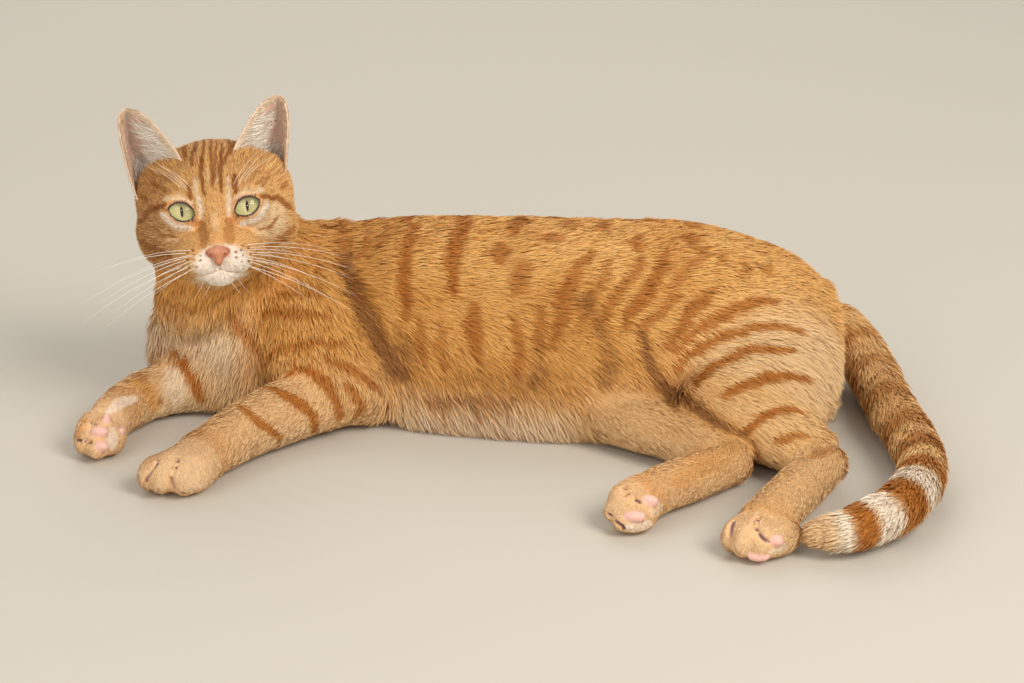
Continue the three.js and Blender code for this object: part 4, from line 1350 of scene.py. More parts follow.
@dataclass
class Eye:
    """One eye: a globe open in front, an iris with a slit pupil, and a clear cornea over them.

    All are turned shapes about the eye's own z: rings of radius r at height z from its middle.
    """

    name: str
    side: int
    sides: int = 64
    iris_radius: float = 8.7
    pupil: Tuple[float, float] = (0.75, 2.7)
    bulge: float = 5.3

    def _turned(self, part: str, radii: Array, heights: Array, squeeze: Optional[Array] = None) -> Piece:
        """A piece of rings in the eye's own place; squeeze gives each ring its x and y scale."""
        angle = np.linspace(0, 2 * np.pi, self.sides, endpoint=False)
        scale = np.ones((len(radii), 2)) if squeeze is None else squeeze
        x = radii[:, None] * scale[:, :1] * np.cos(angle)
        y = radii[:, None] * scale[:, 1:] * np.sin(angle)
        z = np.broadcast_to(heights[:, None], x.shape)
        q = np.stack([x, y, z], -1).reshape(-1, 3) + (self.side * EYE_APART / 2, 0, -EYE_DEPTH)
        return new_piece(f"eye_{part}_{self.name}", HEAD.outward(q), ring_quads(len(radii), self.sides))

    def build(self) -> List[Piece]:
        """The globe, the iris, the cornea and the black behind the pupil."""
        rim = math.asin(self.iris_radius / EYE_RADIUS)
        bend = np.linspace(math.pi - 0.02, rim, 26)
        globe = self._turned("globe", EYE_RADIUS * np.sin(bend), EYE_RADIUS * np.cos(bend))
        edge = EYE_RADIUS * math.cos(rim)
        ring = np.linspace(0, 1, 14)
        squeeze = np.column_stack([self.iris_radius * (1 - ring) + half * ring for half in self.pupil])
        heights = edge - 0.15 + 0.75 * np.sin(ring * np.pi / 2) - 0.5 * ring**6
        iris = self._turned("iris", np.ones(len(ring)), heights, squeeze)
        self._polar_map(iris, ring)
        dome = (self.iris_radius**2 + self.bulge**2) / (2 * self.bulge)
        tilt = math.asin(min(self.iris_radius / dome, 1)) * (1 - ring * 0.999)
        cornea = self._turned("cornea", dome * np.sin(tilt), edge + self.bulge - dome + dome * np.cos(tilt))
        back = np.linspace(1, 0.001, 6)
        pupil = self._turned("pupil", 6.5 * back, edge - 1.6 - 0.6 * (1 - back))
        return [globe, iris, cornea, pupil]

    def _polar_map(self, iris: Piece, ring: Array) -> None:
        """A map of the iris: u runs round it and v from its rim, 0, to the pupil, 1."""
        corners = drawn(iris.data.loops, "vertex_index", 1, np.int32)
        u = ((corners % self.sides) / self.sides).reshape(-1, 4)
        u = np.where((u.max(1, keepdims=True) > 0.9) & (u < 0.1), u + 1, u)
        v = ring[corners // self.sides]
        pour(iris.data.uv_layers.new(name="round").data, "uv", np.column_stack([u.ravel(), v]))


@dataclass
class Whiskers:
    """Stiff tapering hairs: tubes whose middle line bows outwards and sags with its length."""

    sides: int = 5
    joints: int = 14
    thick: float = 0.13

    def _hair(self, root: Array, way: Array, length: float, bow_by: Array,
              thick: float) -> Tuple[Array, Array]:
        """One hair: middle = root + way s length + bow s^2, radius thick (1 - s)^0.7."""
        s = np.linspace(0, 1, self.joints)[:, None]
        middle = root + way * s * length + bow_by * s**2
        tangent = unit(np.gradient(middle, axis=0))
        side = unit(np.cross(tangent, (0.3, 0.2, 1.0)))
        rise = np.cross(side, tangent)
        angle = np.linspace(0, 2 * np.pi, self.sides, endpoint=False)
        radius = thick * (1 - s) ** 0.7 + 0.02
        ring = (middle[:, None] + radius[:, None] * (np.cos(angle)[None, :, None] * side[:, None]
                                                     + np.sin(angle)[None, :, None] * rise[:, None]))
        return ring.reshape(-1, 3), ring_quads(self.joints, self.sides)

    def build(self) -> Piece:
        """All whiskers of the muzzle, brows and chin as one piece."""
        rng = np.random.default_rng(7)
        parts: List[Tuple[Array, Array]] = []
        for side in (-1, 1):
            for x, y in WHISKER_ROOTS:
                root = np.array([side * x, y, self._depth(side * x, y)])
                out = np.array([side * (0.9 + 0.02 * (x - 15)), 0.04 * (y + 24), 0.36 + rng.normal(0, 0.05)])
                out[1] += rng.normal(0, 0.05)
                length = 26 + 2.6 * (x - 10) + rng.uniform(0, 14)
                sag = np.array([side * 2.0, -0.20 * length, -0.30 * length])
                parts.append(self._hair(root, unit(out), length, sag, self.thick))
            for x, y, z in ((12, 13, 1), (15, 14, 0), (18, 14, -2), (14, 11.5, 1)):
                out = np.array([side * (0.25 + 0.03 * x), 1.0, 0.55])
                length = 26 + rng.uniform(-4, 6)
                parts.append(self._hair(np.array([side * x, y, z - 2.0]), unit(out), length,
                                        np.array([side * 6, -3, -9.0]), self.thick * 0.75))
            for x, y, z in ((5, -40, 9), (9, -39, 7)):
                parts.append(self._hair(np.array([side * x, y, z]), unit(np.array([side * 0.5, -1, 0.5])), 12,
                                        np.array([side * 2, -1, -2.0]), self.thick * 0.6))
        vertices, quads, count = [], [], 0
        for q, faces in parts:
            vertices.append(HEAD.outward(q))
            quads.append(faces + count)
            count += len(q)
        return new_piece("whiskers", np.vstack(vertices), np.vstack(quads))

    def _depth(self, x: float, y: float) -> float:
        """How far forward the muzzle's skin lies under a root, found by steps along z."""
        z = np.arange(26, -10, -0.5)
        q = np.column_stack([np.full(len(z), x), np.full(len(z), y), z])
        return float(z[np.argmax(ovoids_distance(q, HEAD_OVOIDS, HEAD_COAT, HEAD_BLEND) < 0)]) - 1.0


# ---- coat


@dataclass(frozen=True)
class Hair:
    """A kind of coat: tuft length and width, tufts to a square centimetre, and how it stands."""

    length: float
    width: float
    density: float
    rise: float = 26.0
    bend: float = 0.52
    clump: float = 15.0


COATS: Dict[str, Hair] = {
    "trunk": Hair(11.5, 0.68, 125, 21, 0.55, 13), "neck": Hair(11.5, 0.7, 120, 22, 0.55, 13),
    "ruff": Hair(11, 0.7, 120, 22, 0.55, 13),
    "head": Hair(3.0, 0.46, 240, 18, 0.6, 9), "shoulder": Hair(10, 0.68, 130, 20),
    "far_shoulder": Hair(11, 0.85, 70), "foreleg_left": Hair(6.5, 0.6, 170, 17),
    "foreleg_right": Hair(6, 0.6, 170, 17), "thigh": Hair(11.5, 0.7, 130, 19),
    "far_haunch": Hair(12, 0.9, 80),
    "shank_left": Hair(8, 0.66, 150, 18), "shank_right": Hair(7, 0.64, 150, 17),
    "hind_left": Hair(4.8, 0.58, 200, 16), "hind_right": Hair(4.5, 0.58, 200, 16),
    "forepaw_left": Hair(2.7, 0.46, 260, 15, 0.6, 9), "forepaw_right": Hair(2.6, 0.46, 260, 15, 0.6, 9),
    "hindfoot_left": Hair(2.7, 0.46, 260, 15, 0.6, 9), "hindfoot_right": Hair(2.7, 0.46, 260, 15, 0.6, 9),
    "tail": Hair(11.5, 0.72, 135, 20),
}

# The coat's pieces: the forms they cover and, on the trunk, from where to where along x.
CUTS = (-FAR, -105, -35, 40, 112, FAR)
COAT_PIECES: Tuple[Tuple[str, Tuple[str, ...], Tuple[float, float]], ...] = (
    ("coat_head", ("head",), (-FAR, FAR)),
    ("coat_neck", ("neck", "ruff", "shoulder", "far_shoulder"), (-FAR, FAR)),
    *((f"coat_{name}", ("trunk",), CUTS[k:k + 2])
      for k, name in enumerate(("breast", "ribs", "flank", "loin", "rump"))),
    ("coat_haunches", ("thigh", "far_haunch"), (-FAR, FAR)),
    ("coat_shanks", ("shank_left", "shank_right"), (-FAR, FAR)),
    ("coat_forelegs", ("foreleg_left", "foreleg_right"), (-FAR, FAR)),
    ("coat_feet", (*PAWS, "hind_left", "hind_right"), (-FAR, FAR)),
    ("coat_tail", ("tail",), (-FAR, FAR)),
)


@dataclass
class Roots:
    """Where tufts grow: place, normal, lie, marks, length, width, rise, bend and place on the unwrap."""

    at: Array
    normal: Array
    lie: Array
    marks: Array
    length: Array
    width: Array
    rise: Array
    bend: Array
    spread: Array


@dataclass
class Tufts:
    """Thin tapering blades, one strip of triangles each, joined into one mesh."""

    along: Place = (0.0, 0.38, 0.74, 1.0)
    breadth: Place = (0.8, 1.0, 0.66, 0.0)
    bury: float = 0.5
    patch: float = 0.003

    def build(self, name: str, roots: Roots, rng: np.random.Generator) -> Piece:
        """Grows one blade from each root.

        The middle line is root + L (s cos a lie + (sin a s (1 - b s)) normal + c s^2 side), with a
        the rise, b the bend and c a small random curl; the half width is W / 2 times the breadth
        at s, and the blade is turned a little about its line.
        """
        n = len(roots.at)
        side = np.cross(roots.lie, roots.normal)
        curl = rng.normal(0, 0.09, n)[:, None]
        turn = rng.normal(0, 0.45, n)[:, None]
        flat = side * np.cos(turn) + roots.normal * np.sin(turn)
        length = roots.length[:, None]
        points, across_at, along_at = [], [], []
        for s, w in zip(self.along, self.breadth):
            height = np.sin(roots.rise)[:, None] * s * (1 - roots.bend[:, None] * s)
            middle = (roots.at - self.bury * (1 - s) * roots.normal
                      + length * (s * np.cos(roots.rise)[:, None] * roots.lie + height * roots.normal
                                  + curl * s**2 * side))
            half = flat * roots.width[:, None] * w / 2
            if w > 0:
                points += [middle - half, middle + half]
                across_at += [0.0, 1.0]
                along_at += [s, s]
            else:
                points.append(middle)
                across_at.append(0.5)
                along_at.append(s)
        size = len(points)
        vertices = np.stack(points, 1).reshape(-1, 3)
        vertices[:, 2] = np.maximum(vertices[:, 2], 0.15)
        pattern = np.array([t for k in range(0, size - 3, 2) for t in ((k, k + 1, k + 3), (k, k + 3, k + 2))]
                           + [(size - 3, size - 2, size - 1)])
        faces = (np.arange(n)[:, None, None] * size + pattern[None]).reshape(-1, 3)
        piece = new_piece(name, vertices, faces)
        put_marks(piece.data, np.repeat(roots.marks, size, axis=0))
        strand = np.column_stack([across_at, along_at])[pattern.ravel()]
        strand = np.tile(strand, (n, 1))
        spread = np.repeat(roots.spread, pattern.size, axis=0) + (strand - 0.5) * self.patch
        for layer_name, uv in (("OFBake", spread), ("strand", strand)):
            pour(piece.data.uv_layers.new(name=layer_name).data, "uv", uv)
        log.info("%s: %d tufts, %d triangles", name, n, len(faces))
        return piece


LONG_TUFTS = Tufts()
SHORT_TUFTS = Tufts(along=(0.0, 0.55, 1.0), breadth=(0.9, 0.85, 0.0), bury=0.3)
SHORT_PIECES = ("coat_head", "coat_feet")


class Coat:
    """The coat of body and head: roots scattered over the skin by area and kind of hair."""

    def __init__(self, body: Body, markings: Markings, vertices: Array, faces: Array) -> None:
        """Scatters the roots and surveys them once.

        Args:
            body: the forms under the coat.
            markings: the coat's stripes and pale parts.
            vertices: the skin's vertices, in millimetres.
            faces: its triangles.
        """
        self.body, self.markings, self.rng = body, markings, np.random.default_rng(11)
        corners = vertices[faces]
        edges = corners[:, 1] - corners[:, 0], corners[:, 2] - corners[:, 0]
        area = np.linalg.norm(np.cross(*edges), axis=1) / 2
        middle = corners.mean(1)
        form = body.survey(middle).form
        density = np.array([COATS[n].density for n in body.names])[form] / 100
        density = density * self._thinned(middle, form)
        wanted = area * density
        count = np.floor(wanted).astype(int) + (self.rng.random(len(wanted)) < wanted % 1)
        pick = np.repeat(np.arange(len(faces)), count)
        u, v = self.rng.random(len(pick)), self.rng.random(len(pick))
        u, v = np.where(u + v > 1, 1 - u, u), np.where(u + v > 1, 1 - v, v)
        weights = np.column_stack([1 - u - v, u, v])
        self.at = np.einsum("ij,ijk->ik", weights, corners[pick])
        normals = vertex_normals(vertices, faces)
        self.normal = unit(np.einsum("ij,ijk->ik", weights, normals[faces[pick]]))
        self.survey = body.survey(self.at)
        self.marks = markings.measure(self.at, self.survey)
        keep = (self.marks[:, Mark.BARE] < 0.45) & (body.gap_distance(self.at) > 1.6)
        keep &= ~((self.at[:, 2] < 2.0) & (self.normal[:, 2] < -0.6))
        self._keep(keep)

    def _keep(self, keep: Array) -> None:
        """Drops the roots that aren't kept."""
        self.at, self.normal, self.marks = self.at[keep], self.normal[keep], self.marks[keep]
        self.survey = Survey(*(getattr(self.survey, f.name)[keep] for f in fields(Survey)))

    def _thinned(self, p: Array, form: Array) -> Array:
        """A share of the density: less on the unseen underside, more on the front of the face."""
        share = 0.35 + 0.65 * ease(p[:, 2], 3, 12)
        q = HEAD.inward(p)
        head = form == self.body.names.index("head")
        face = 1.15 * ease(q[:, 2], -60, -20) + 0.5
        return share * np.where(head, face, 1)

    def _styled(self, k: Array) -> Roots:
        """The roots of the rows k, with length, width and rise from their kinds of hair, mixed."""
        rng, n = self.rng, len(k)
        at, normal = self.at[k], self.normal[k]
        weights = self.survey.weights[k]
        table = np.array([(COATS[x].length, COATS[x].width, COATS[x].rise, COATS[x].bend, COATS[x].clump)
                          for x in self.body.names])
        length, width, rise, bend, clump = (weights @ table).T
        q = HEAD.inward(at)
        nose = np.linalg.norm(q - np.array(NOSE_TIP), axis=1)
        head = self.body.share(weights, "head")
        face = np.clip(1.3 + 0.068 * nose, 1.6, 9)
        lids = LIDS.measure(q)[0]
        jaw = ease(np.abs(q[:, 0]), 24, 36) * ease(q[:, 1], 0, -16)
        crown = ease(np.linalg.norm(np.abs(q) - (28, 26, 26), axis=1), 18, 7)
        face = face * (1 + 0.5 * jaw) + 3.5 * crown
        face = np.where(q[:, 2] > -16, np.minimum(face, 1.0 + 0.55 * np.maximum(lids, 0)), face)
        length = length * (1 - ease(head, 0.4, 0.8)) + face * ease(head, 0.4, 0.8)
        trunk = self.body.share(weights, "trunk")
        low = ease(at[:, 2], 44, 18)
        length = length * (1 + 0.9 * low * trunk + 0.35 * ease(at[:, 0], -150, -180) * trunk)
        length = length * (1 + 0.18 * lattice_noise(at, 7, 21)) * rng.uniform(0.7, 1.15, n)
        lie = self.survey.lie[k]
        side = np.cross(lie, normal)
        swing = np.radians(clump) * (0.7 * lattice_noise(at, 9, 22) + 0.6 * lattice_noise(at, 26, 23)
                                     + rng.normal(0, 0.45, n))
        lie = across(lie * np.cos(swing)[:, None] + side * np.sin(swing)[:, None], normal)
        tail = self.body.share(weights, "tail")
        length = length * (1 - 0.5 * tail * ease(self.survey.place[k], 0.93, 1.0))
        gap = self.body.gap_distance(at)
        length = np.minimum(length, np.where(gap < FAR_GAP, 0.75 * gap - 0.5, FAR))
        rise = np.radians(rise + 9 * low * trunk) * (1 + 0.25 * lattice_noise(at, 6, 24))
        rise = rise * rng.uniform(0.6, 1.35, n)
        shown = at + 0.6 * length[:, None] * lie
        marks = self.markings.measure(shown, self.body.survey(shown))
        jitter = rng.normal(0, 1, n) * (0.11 + 0.11 * ease(head, 0.4, 0.8))
        marks[:, Mark.TONE] = np.clip(marks[:, Mark.TONE] + jitter, 0, 1)
        marks[:, Mark.BARE] = 0
        return Roots(at, normal, lie, marks, length, width * rng.uniform(0.75, 1.2, n), rise, bend,
                     np.zeros((n, 2)))

    def build(self) -> List[Piece]:
        """Every piece of the coat."""
        pieces = []
        names = self.body.names
        for name, forms, (low, high) in COAT_PIECES:
            ids = [names.index(f) for f in forms]
            there = (self.at[:, 0] >= low) & (self.at[:, 0] < high)
            k = np.flatnonzero(np.isin(self.survey.form, ids) & there)
            roots = self._styled(k)
            roots.spread = self._unwrap(k, ids, name == "coat_head")
            tufts = SHORT_TUFTS if name in SHORT_PIECES else LONG_TUFTS
            pieces.append(tufts.build(name, roots, self.rng))
        return pieces

    def _unwrap(self, k: Array, ids: Sequence[int], head: bool) -> Array:
        """Places of roots on an unwrap of the skin.

        A tube or paw is a column: angle round it across, place along it up. The head is spread from
        the middle of the face, each point as far out as its angle from the face's axis.
        """
        if head:
            q = HEAD.inward(self.at[k]) + np.array([0, 6, 34])
            bend = np.arctan2(np.hypot(q[:, 0], q[:, 1]), q[:, 2]) / math.pi * 0.48
            round_by = np.arctan2(q[:, 1], q[:, 0])
            return np.column_stack([0.5 + bend * np.cos(round_by), 0.5 + bend * np.sin(round_by)])
        column = np.searchsorted(np.array(sorted(ids)), self.survey.form[k])
        turn = (self.survey.angle[k] + math.pi) / (2 * math.pi)
        u = (column + 0.02 + 0.96 * turn) / len(ids)
        return np.column_stack([u, 0.01 + 0.98 * np.clip(self.survey.place[k], 0, 1)])


@dataclass(frozen=True)
class EarZone:
    """Hair of one part of an ear: how much, where along and across, and how it grows."""

    count: int
    s_range: Tuple[float, float]
    t_range: Tuple[float, float]
    rear: bool
    length: float
    width: float
    rise: float
    cross: float
    pale: float


# Behind, at the inner and the outer rim, long over the cup, at its foot, and short in the cup.
EAR_ZONES = (
    EarZone(5200, (0.0, 0.99), (-1, 1), True, 3.2, 0.62, 20, 0.0, 0.0),
    EarZone(1500, (0.05, 0.98), (-1, -0.86), False, 4.5, 0.5, 30, 1.4, 0.75),
    EarZone(1300, (0.05, 0.98), (0.86, 1), False, 3.6, 0.5, 28, 0.0, 0.55),
    EarZone(620, (-0.02, 0.62), (-0.96, -0.55), False, 15.0, 0.42, 38, 1.1, 1.0),
    EarZone(340, (-0.06, 0.2), (-0.6, 0.7), False, 11.0, 0.42, 50, 0.4, 1.0),
    EarZone(2600, (0.0, 0.97), (-0.9, 0.9), False, 2.4, 0.42, 16, 0.2, 0.85))


@dataclass
class EarCoat:
    """The ears' hair: short and dense behind, fringed at the rim, long and white in the cup."""

    ears: Sequence[Ear]
    rng: np.random.Generator = field(default_factory=lambda: np.random.default_rng(12))

    def build(self) -> Piece:
        """All hair of both ears as one piece."""
        roots = joined(Roots, [self._grow(ear, zone) for ear in self.ears for zone in EAR_ZONES])
        return SHORT_TUFTS.build("coat_ears", roots, self.rng)

    def _grow(self, ear: Ear, zone: EarZone) -> Roots:
        """Roots of one zone of an ear."""
        rng, count = self.rng, zone.count
        s, t = rng.uniform(*zone.s_range, count), rng.uniform(*zone.t_range, count)
        thick = np.full(count, 0.5 + (ear.thickness if zone.rear else 0))
        at = HEAD.outward(ear.point(s, t, thick))
        up = unit(HEAD.outward(ear.point(s + 0.02, t, thick)) - at)
        over = unit(HEAD.outward(ear.point(s, t + 0.02, thick)) - at)
        normal = unit(np.cross(over, up) * ear.side)
        if zone.rear:
            normal = -normal
        lie = across(up + zone.cross * over + 0.25 * rng.normal(0, 1, (count, 3)), normal)
        marks = np.zeros((count, 4))
        rim = np.maximum(ease(np.abs(t), 0.8, 0.95), ease(s, 0.9, 0.98))
        marks[:, Mark.PALE] = np.maximum(zone.pale, 0.7 * rim)
        marks[:, Mark.STRIPE] = 0.3 * (1 - rim) * ease(s, 0.9, 0.3) * (zone.pale == 0)
        tone = 0.55 + rng.normal(0, 0.1, count) + 0.3 * (zone.pale >= 0.85)
        marks[:, Mark.TONE] = np.clip(tone, 0, 1)
        column = (ear.side > 0) + 2 * zone.rear
        spread = np.column_stack([(column + 0.02 + 0.48 * (t + 1)) / 4, 0.1 + 0.8 * s])
        return Roots(at, normal, lie, marks, zone.length * rng.uniform(0.6, 1.15, count),
                     zone.width * rng.uniform(0.8, 1.2, count),
                     np.radians(zone.rise) * rng.uniform(0.6, 1.3, count), np.full(count, 0.5), spread)


# ---- finishes


class Build:
    """A node tree being filled in: makes nodes, sets their values and links them."""

    def __init__(self, tree: Tree) -> None:
        """Keeps the tree."""
        self.tree = tree

    def fill(self, node: bpy.types.Node, values: Dict[object, object]) -> None:
        """Sets a node's inputs, each by a value or by a link."""
        for key, value in values.items():
            if isinstance(value, Socket):
                self.tree.links.new(value, node.inputs[key])
            else:
                node.inputs[key].default_value = value

    def node(self, kind: str, values: Optional[Dict[object, object]] = None,
             **options: object) -> bpy.types.Node:
        """A node of a kind, with options set on it and its inputs filled."""
        made = self.tree.nodes.new(kind)
        for key, value in options.items():
            setattr(made, key, value)
        self.fill(made, values or {})
        return made

    def math(self, operation: str, a: object, b: object = 0.0) -> Socket:
        """The result of a sum of two numbers."""
        return self.node("ShaderNodeMath", {0: a, 1: b}, operation=operation).outputs[0]

    def mix(self, by: object, a: object, b: object, blend: str = "MIX") -> Socket:
        """Two colours mixed."""
        made = self.node("ShaderNodeMix", {0: by, 6: a, 7: b}, data_type="RGBA", blend_type=blend)
        return made.outputs[2]

    def spread(self, value: object, low: float, high: float, to_low: float = 0.0,
               to_high: float = 1.0) -> Socket:
        """A value carried from one range to another, held at its ends."""
        return self.node("ShaderNodeMapRange", {0: value, 1: low, 2: high, 3: to_low, 4: to_high}).outputs[0]

    def place(self) -> Socket:
        """Object coordinates."""
        return self.node("ShaderNodeTexCoord").outputs["Object"]

    def noise(self, scale: float, detail: float = 3.0, vector: object = None) -> Socket:
        """Noise on Object coordinates, or on another vector."""
        values = {"Vector": vector or self.place(), "Scale": scale, "Detail": detail}
        return self.node("ShaderNodeTexNoise", values).outputs[0]

    def map_parts(self, name: str) -> Sequence[Socket]:
        """The two numbers of a map of the piece."""
        layer = self.node("ShaderNodeUVMap", uv_map=name).outputs[0]
        return self.node("ShaderNodeSeparateXYZ", {0: layer}).outputs


class Paint(Build):
    """A new material being filled in, with its Principled shader."""

    def __init__(self, name: str) -> None:
        """Makes the material."""
        self.material = bpy.data.materials.new(name)
        self.material.use_nodes = True
        super().__init__(self.material.node_tree)
        self.shader = self.tree.nodes["Principled BSDF"]

    def finish(self, colour: object, roughness: object, bump: Sequence[object] = (), inward: bool = False,
               **more: object) -> Material:
        """Fills the shader in.

        Args:
            colour: the base colour, as a value or a socket.
            roughness: the same for the roughness.
            bump: strength, distance in metres and height.
            inward: whether the height goes into the surface.
            more: other inputs of the shader, with _ for a space.

        Returns:
            The material.
        """
        values = {"Base Color": colour, "Roughness": roughness}
        if bump:
            heights = dict(zip(("Strength", "Distance", "Height"), bump))
            values["Normal"] = self.node("ShaderNodeBump", heights, invert=inward).outputs[0]
        self.fill(self.shader, {**values, **{key.replace("_", " "): value for key, value in more.items()}})
        return self.material


def rgb(red: float, green: float, blue: float) -> Tuple[float, float, float, float]:
    """A linear colour from its display values, 0 to 255."""
    return (*(((v / 255 + 0.055) / 1.055) ** 2.4 if v > 10 else v / 255 / 12.92
              for v in (red, green, blue)), 1.0)


@dataclass(frozen=True)
class Ginger:
    """The colours of the coat."""

    brown: Colour = rgb(140, 82, 32)
    orange: Colour = rgb(224, 156, 72)
    light: Colour = rgb(244, 192, 112)
    rust: Colour = rgb(186, 106, 26)
    umber: Colour = rgb(136, 74, 24)
    cream: Colour = rgb(242, 208, 158)
    white: Colour = rgb(255, 242, 222)
    # root tints the painted shade at the tuft roots and in the skin's speckle, and is also a tan in the pale
    # ground.
    root: Colour = rgb(196, 136, 80)


GINGER = Ginger()


def coat_colour_group() -> Tree:
    """The node group that skin and tufts share: the marks attribute in, a coat colour out.

    The ground runs from brown over orange to light with tone, whose low end partly stands for painted shade,
    goes over cream to white with pale, and to rust with stripe.

    Returns:
        The group, with outputs Color, Pale, Bare and Tone.
    """
    group = bpy.data.node_groups.new("coat_colour", "ShaderNodeTree")
    b = Build(group)
    marks = b.node("ShaderNodeAttribute", attribute_name="marks")
    stripe, pale, bare = b.node("ShaderNodeSeparateColor", {0: marks.outputs["Color"]}).outputs
    tone = marks.outputs["Alpha"]
    ground = b.mix(b.spread(tone, 0, 0.5), GINGER.brown, GINGER.orange)
    ground = b.mix(b.spread(tone, 0.5, 1), ground, GINGER.light)
    paler = b.mix(b.spread(pale, 0, 0.5), ground, b.mix(b.spread(tone, 0, 0.6), GINGER.root, GINGER.cream))
    paler = b.mix(b.spread(pale, 0.5, 1), paler, GINGER.white)
    colour = b.mix(stripe, paler, b.mix(b.spread(tone, 0.05, 0.5), GINGER.umber, GINGER.rust))
    results = {"Color": colour, "Pale": pale, "Bare": bare, "Tone": tone}
    for name in results:
        kind = "NodeSocketColor" if name == "Color" else "NodeSocketFloat"
        group.interface.new_socket(name, in_out="OUTPUT", socket_type=kind)
    b.node("NodeGroupOutput", results)
    return group


@dataclass(frozen=True)
class TuftFinish:
    """The look of a tuft: painted shade at its root, where tufts shade each other, painted light at its tip,
    fine strands along it.
    """

    colour: Tree
    strands: float = 2.0

    def make(self) -> Material:
        """The material of every coat piece."""
        b = Paint("coat_fur")
        group = b.node("ShaderNodeGroup", node_tree=self.colour).outputs
        across_at, along_at, _ = b.map_parts("strand")
        wave = b.math("COSINE", b.math("MULTIPLY", across_at, self.strands * 2 * math.pi))
        fine = b.spread(wave, -1, 1, 0.9, 1.04)
        # Painted shade at the root, where the tufts shade each other, weaker on pale hair.
        shade = b.spread(group["Pale"], 0.4, 1.0, 0.45, 0.15)
        root = b.mix(shade, group["Color"], GINGER.root, "MULTIPLY")
        colour = b.mix(b.spread(along_at, 0.0, 0.6), root, group["Color"])
        # Painted light: the tip is lightened, towards white on pale hair.
        tip = b.mix(b.spread(group["Pale"], 0.3, 1.0), GINGER.light, GINGER.white)
        colour = b.mix(b.spread(along_at, 0.5, 1.0, 0.0, 0.18), colour, tip)
        # The strands darken the gaps between them a little: painted shade between hairs.
        grey = b.node("ShaderNodeCombineColor", {0: fine, 1: fine, 2: fine}).outputs[0]
        colour = b.mix(1.0, colour, grey, "MULTIPLY")
        return b.finish(colour, 0.55, (0.35, 0.0003, wave), Specular_IOR_Level=0.3)


@dataclass(frozen=True)
class SkinFinish:
    """Skin under the coat: coat colour speckled with painted root shade, short flat hair as bump, pink or
    dark where it is bare.
    """

    colour: Tree
    pink: Colour = rgb(240, 186, 166)
    # dark: the rims of the eyes and lines of the face, and painted shade in the gaps between the toes.
    dark: Colour = rgb(46, 26, 20)

    def make(self) -> Material:
        """The skin's material."""
        b = Paint("skin_fur")
        group = b.node("ShaderNodeGroup", node_tree=self.colour).outputs
        grain = b.noise(900, 4)
        # Painted shade: a fine speckle of the colour darkened by the root colour, as among the roots of the
        # tufts.
        deep = b.mix(0.7, group["Color"], GINGER.root, "MULTIPLY")
        hair = b.mix(b.spread(grain, 0.35, 0.65, 0.25, 0.75), deep, group["Color"])
        flesh = b.mix(group["Tone"], self.dark, self.pink)
        bare = b.spread(group["Bare"], 0.25, 0.6)
        return b.finish(b.mix(bare, hair, flesh), b.spread(bare, 0, 1, 0.75, 0.42), (0.4, 0.0006, grain),
                        Specular_IOR_Level=0.3)


@dataclass(frozen=True)
class NoseFinish:
    """Salmon-pink nose leather: pebbled, with clouds of a deeper pink."""

    pink: Colour = rgb(206, 140, 100)
    deep: Colour = rgb(178, 106, 74)

    def make(self) -> Material:
        """The nose's material."""
        b = Paint("nose_leather")
        pebbles = b.node("ShaderNodeTexVoronoi", {"Vector": b.place(), "Scale": 1500.0}).outputs["Distance"]
        colour = b.mix(b.spread(b.noise(260, 3), 0.35, 0.7), self.deep, self.pink)
        return b.finish(colour, 0.42, (0.5, 0.0003, pebbles), inward=True)


@dataclass(frozen=True)
class IrisFinish:
    """Pale yellow-green iris: fibres towards the pupil, a dark edge and a warmer inner ring."""

    edge: Colour = rgb(84, 78, 44)
    body: Colour = rgb(168, 162, 94)
    inner: Colour = rgb(164, 142, 80)
    fibre: Colour = rgb(212, 204, 142)

    def make(self) -> Material:
        """The iris's material: noise on (9 cos u, 9 sin u, 0.9 v) draws the fibres."""
        b = Paint("iris")
        u, v, _ = b.map_parts("round")
        turn = b.math("MULTIPLY", u, 2 * math.pi)
        spoke = b.node("ShaderNodeCombineXYZ", {0: b.math("MULTIPLY", b.math("COSINE", turn), 9.0),
                                                1: b.math("MULTIPLY", b.math("SINE", turn), 9.0),
                                                2: b.math("MULTIPLY", v, 0.9)})
        fibre = b.noise(2.2, 4.0, spoke.outputs[0])
        colour = b.mix(b.spread(v, 0.45, 0.95), self.body, self.inner)
        colour = b.mix(b.spread(fibre, 0.35, 0.7, 0.0, 0.45), colour, self.fibre)
        return b.finish(b.mix(b.spread(v, 0.0, 0.3), self.edge, colour), 0.35, (0.4, 0.0004, fibre))


@dataclass(frozen=True)
class CorneaFinish:
    """A clear wet dome; light for the iris passes it unbent."""

    def make(self) -> Material:
        """The cornea's material."""
        b = Paint("cornea")
        material = b.finish((1, 1, 1, 1), 0.02, Transmission_Weight=1.0, IOR=1.3)
        shadow = b.node("ShaderNodeLightPath").outputs["Is Shadow Ray"]
        clear = b.node("ShaderNodeBsdfTransparent").outputs[0]
        mix = b.node("ShaderNodeMixShader", {0: shadow, 1: b.shader.outputs[0], 2: clear})
        b.fill(b.tree.nodes["Material Output"], {"Surface": mix.outputs[0]})
        return material


@dataclass(frozen=True)
class PlainFinish:
    """A colour with faint clouds in it, for pupils, globes and whiskers."""

    name: str
    colour: Colour
    cloud: Colour
    roughness: float = 0.4

    def make(self) -> Material:
        """The material."""
        b = Paint(self.name)
        return b.finish(b.mix(b.noise(700, 2), self.colour, self.cloud), self.roughness)


# ---- studio


@dataclass(frozen=True)
class Lamp:
    """A square soft lamp that faces the origin."""

    name: str
    at: Triple
    watts: float
    size: float


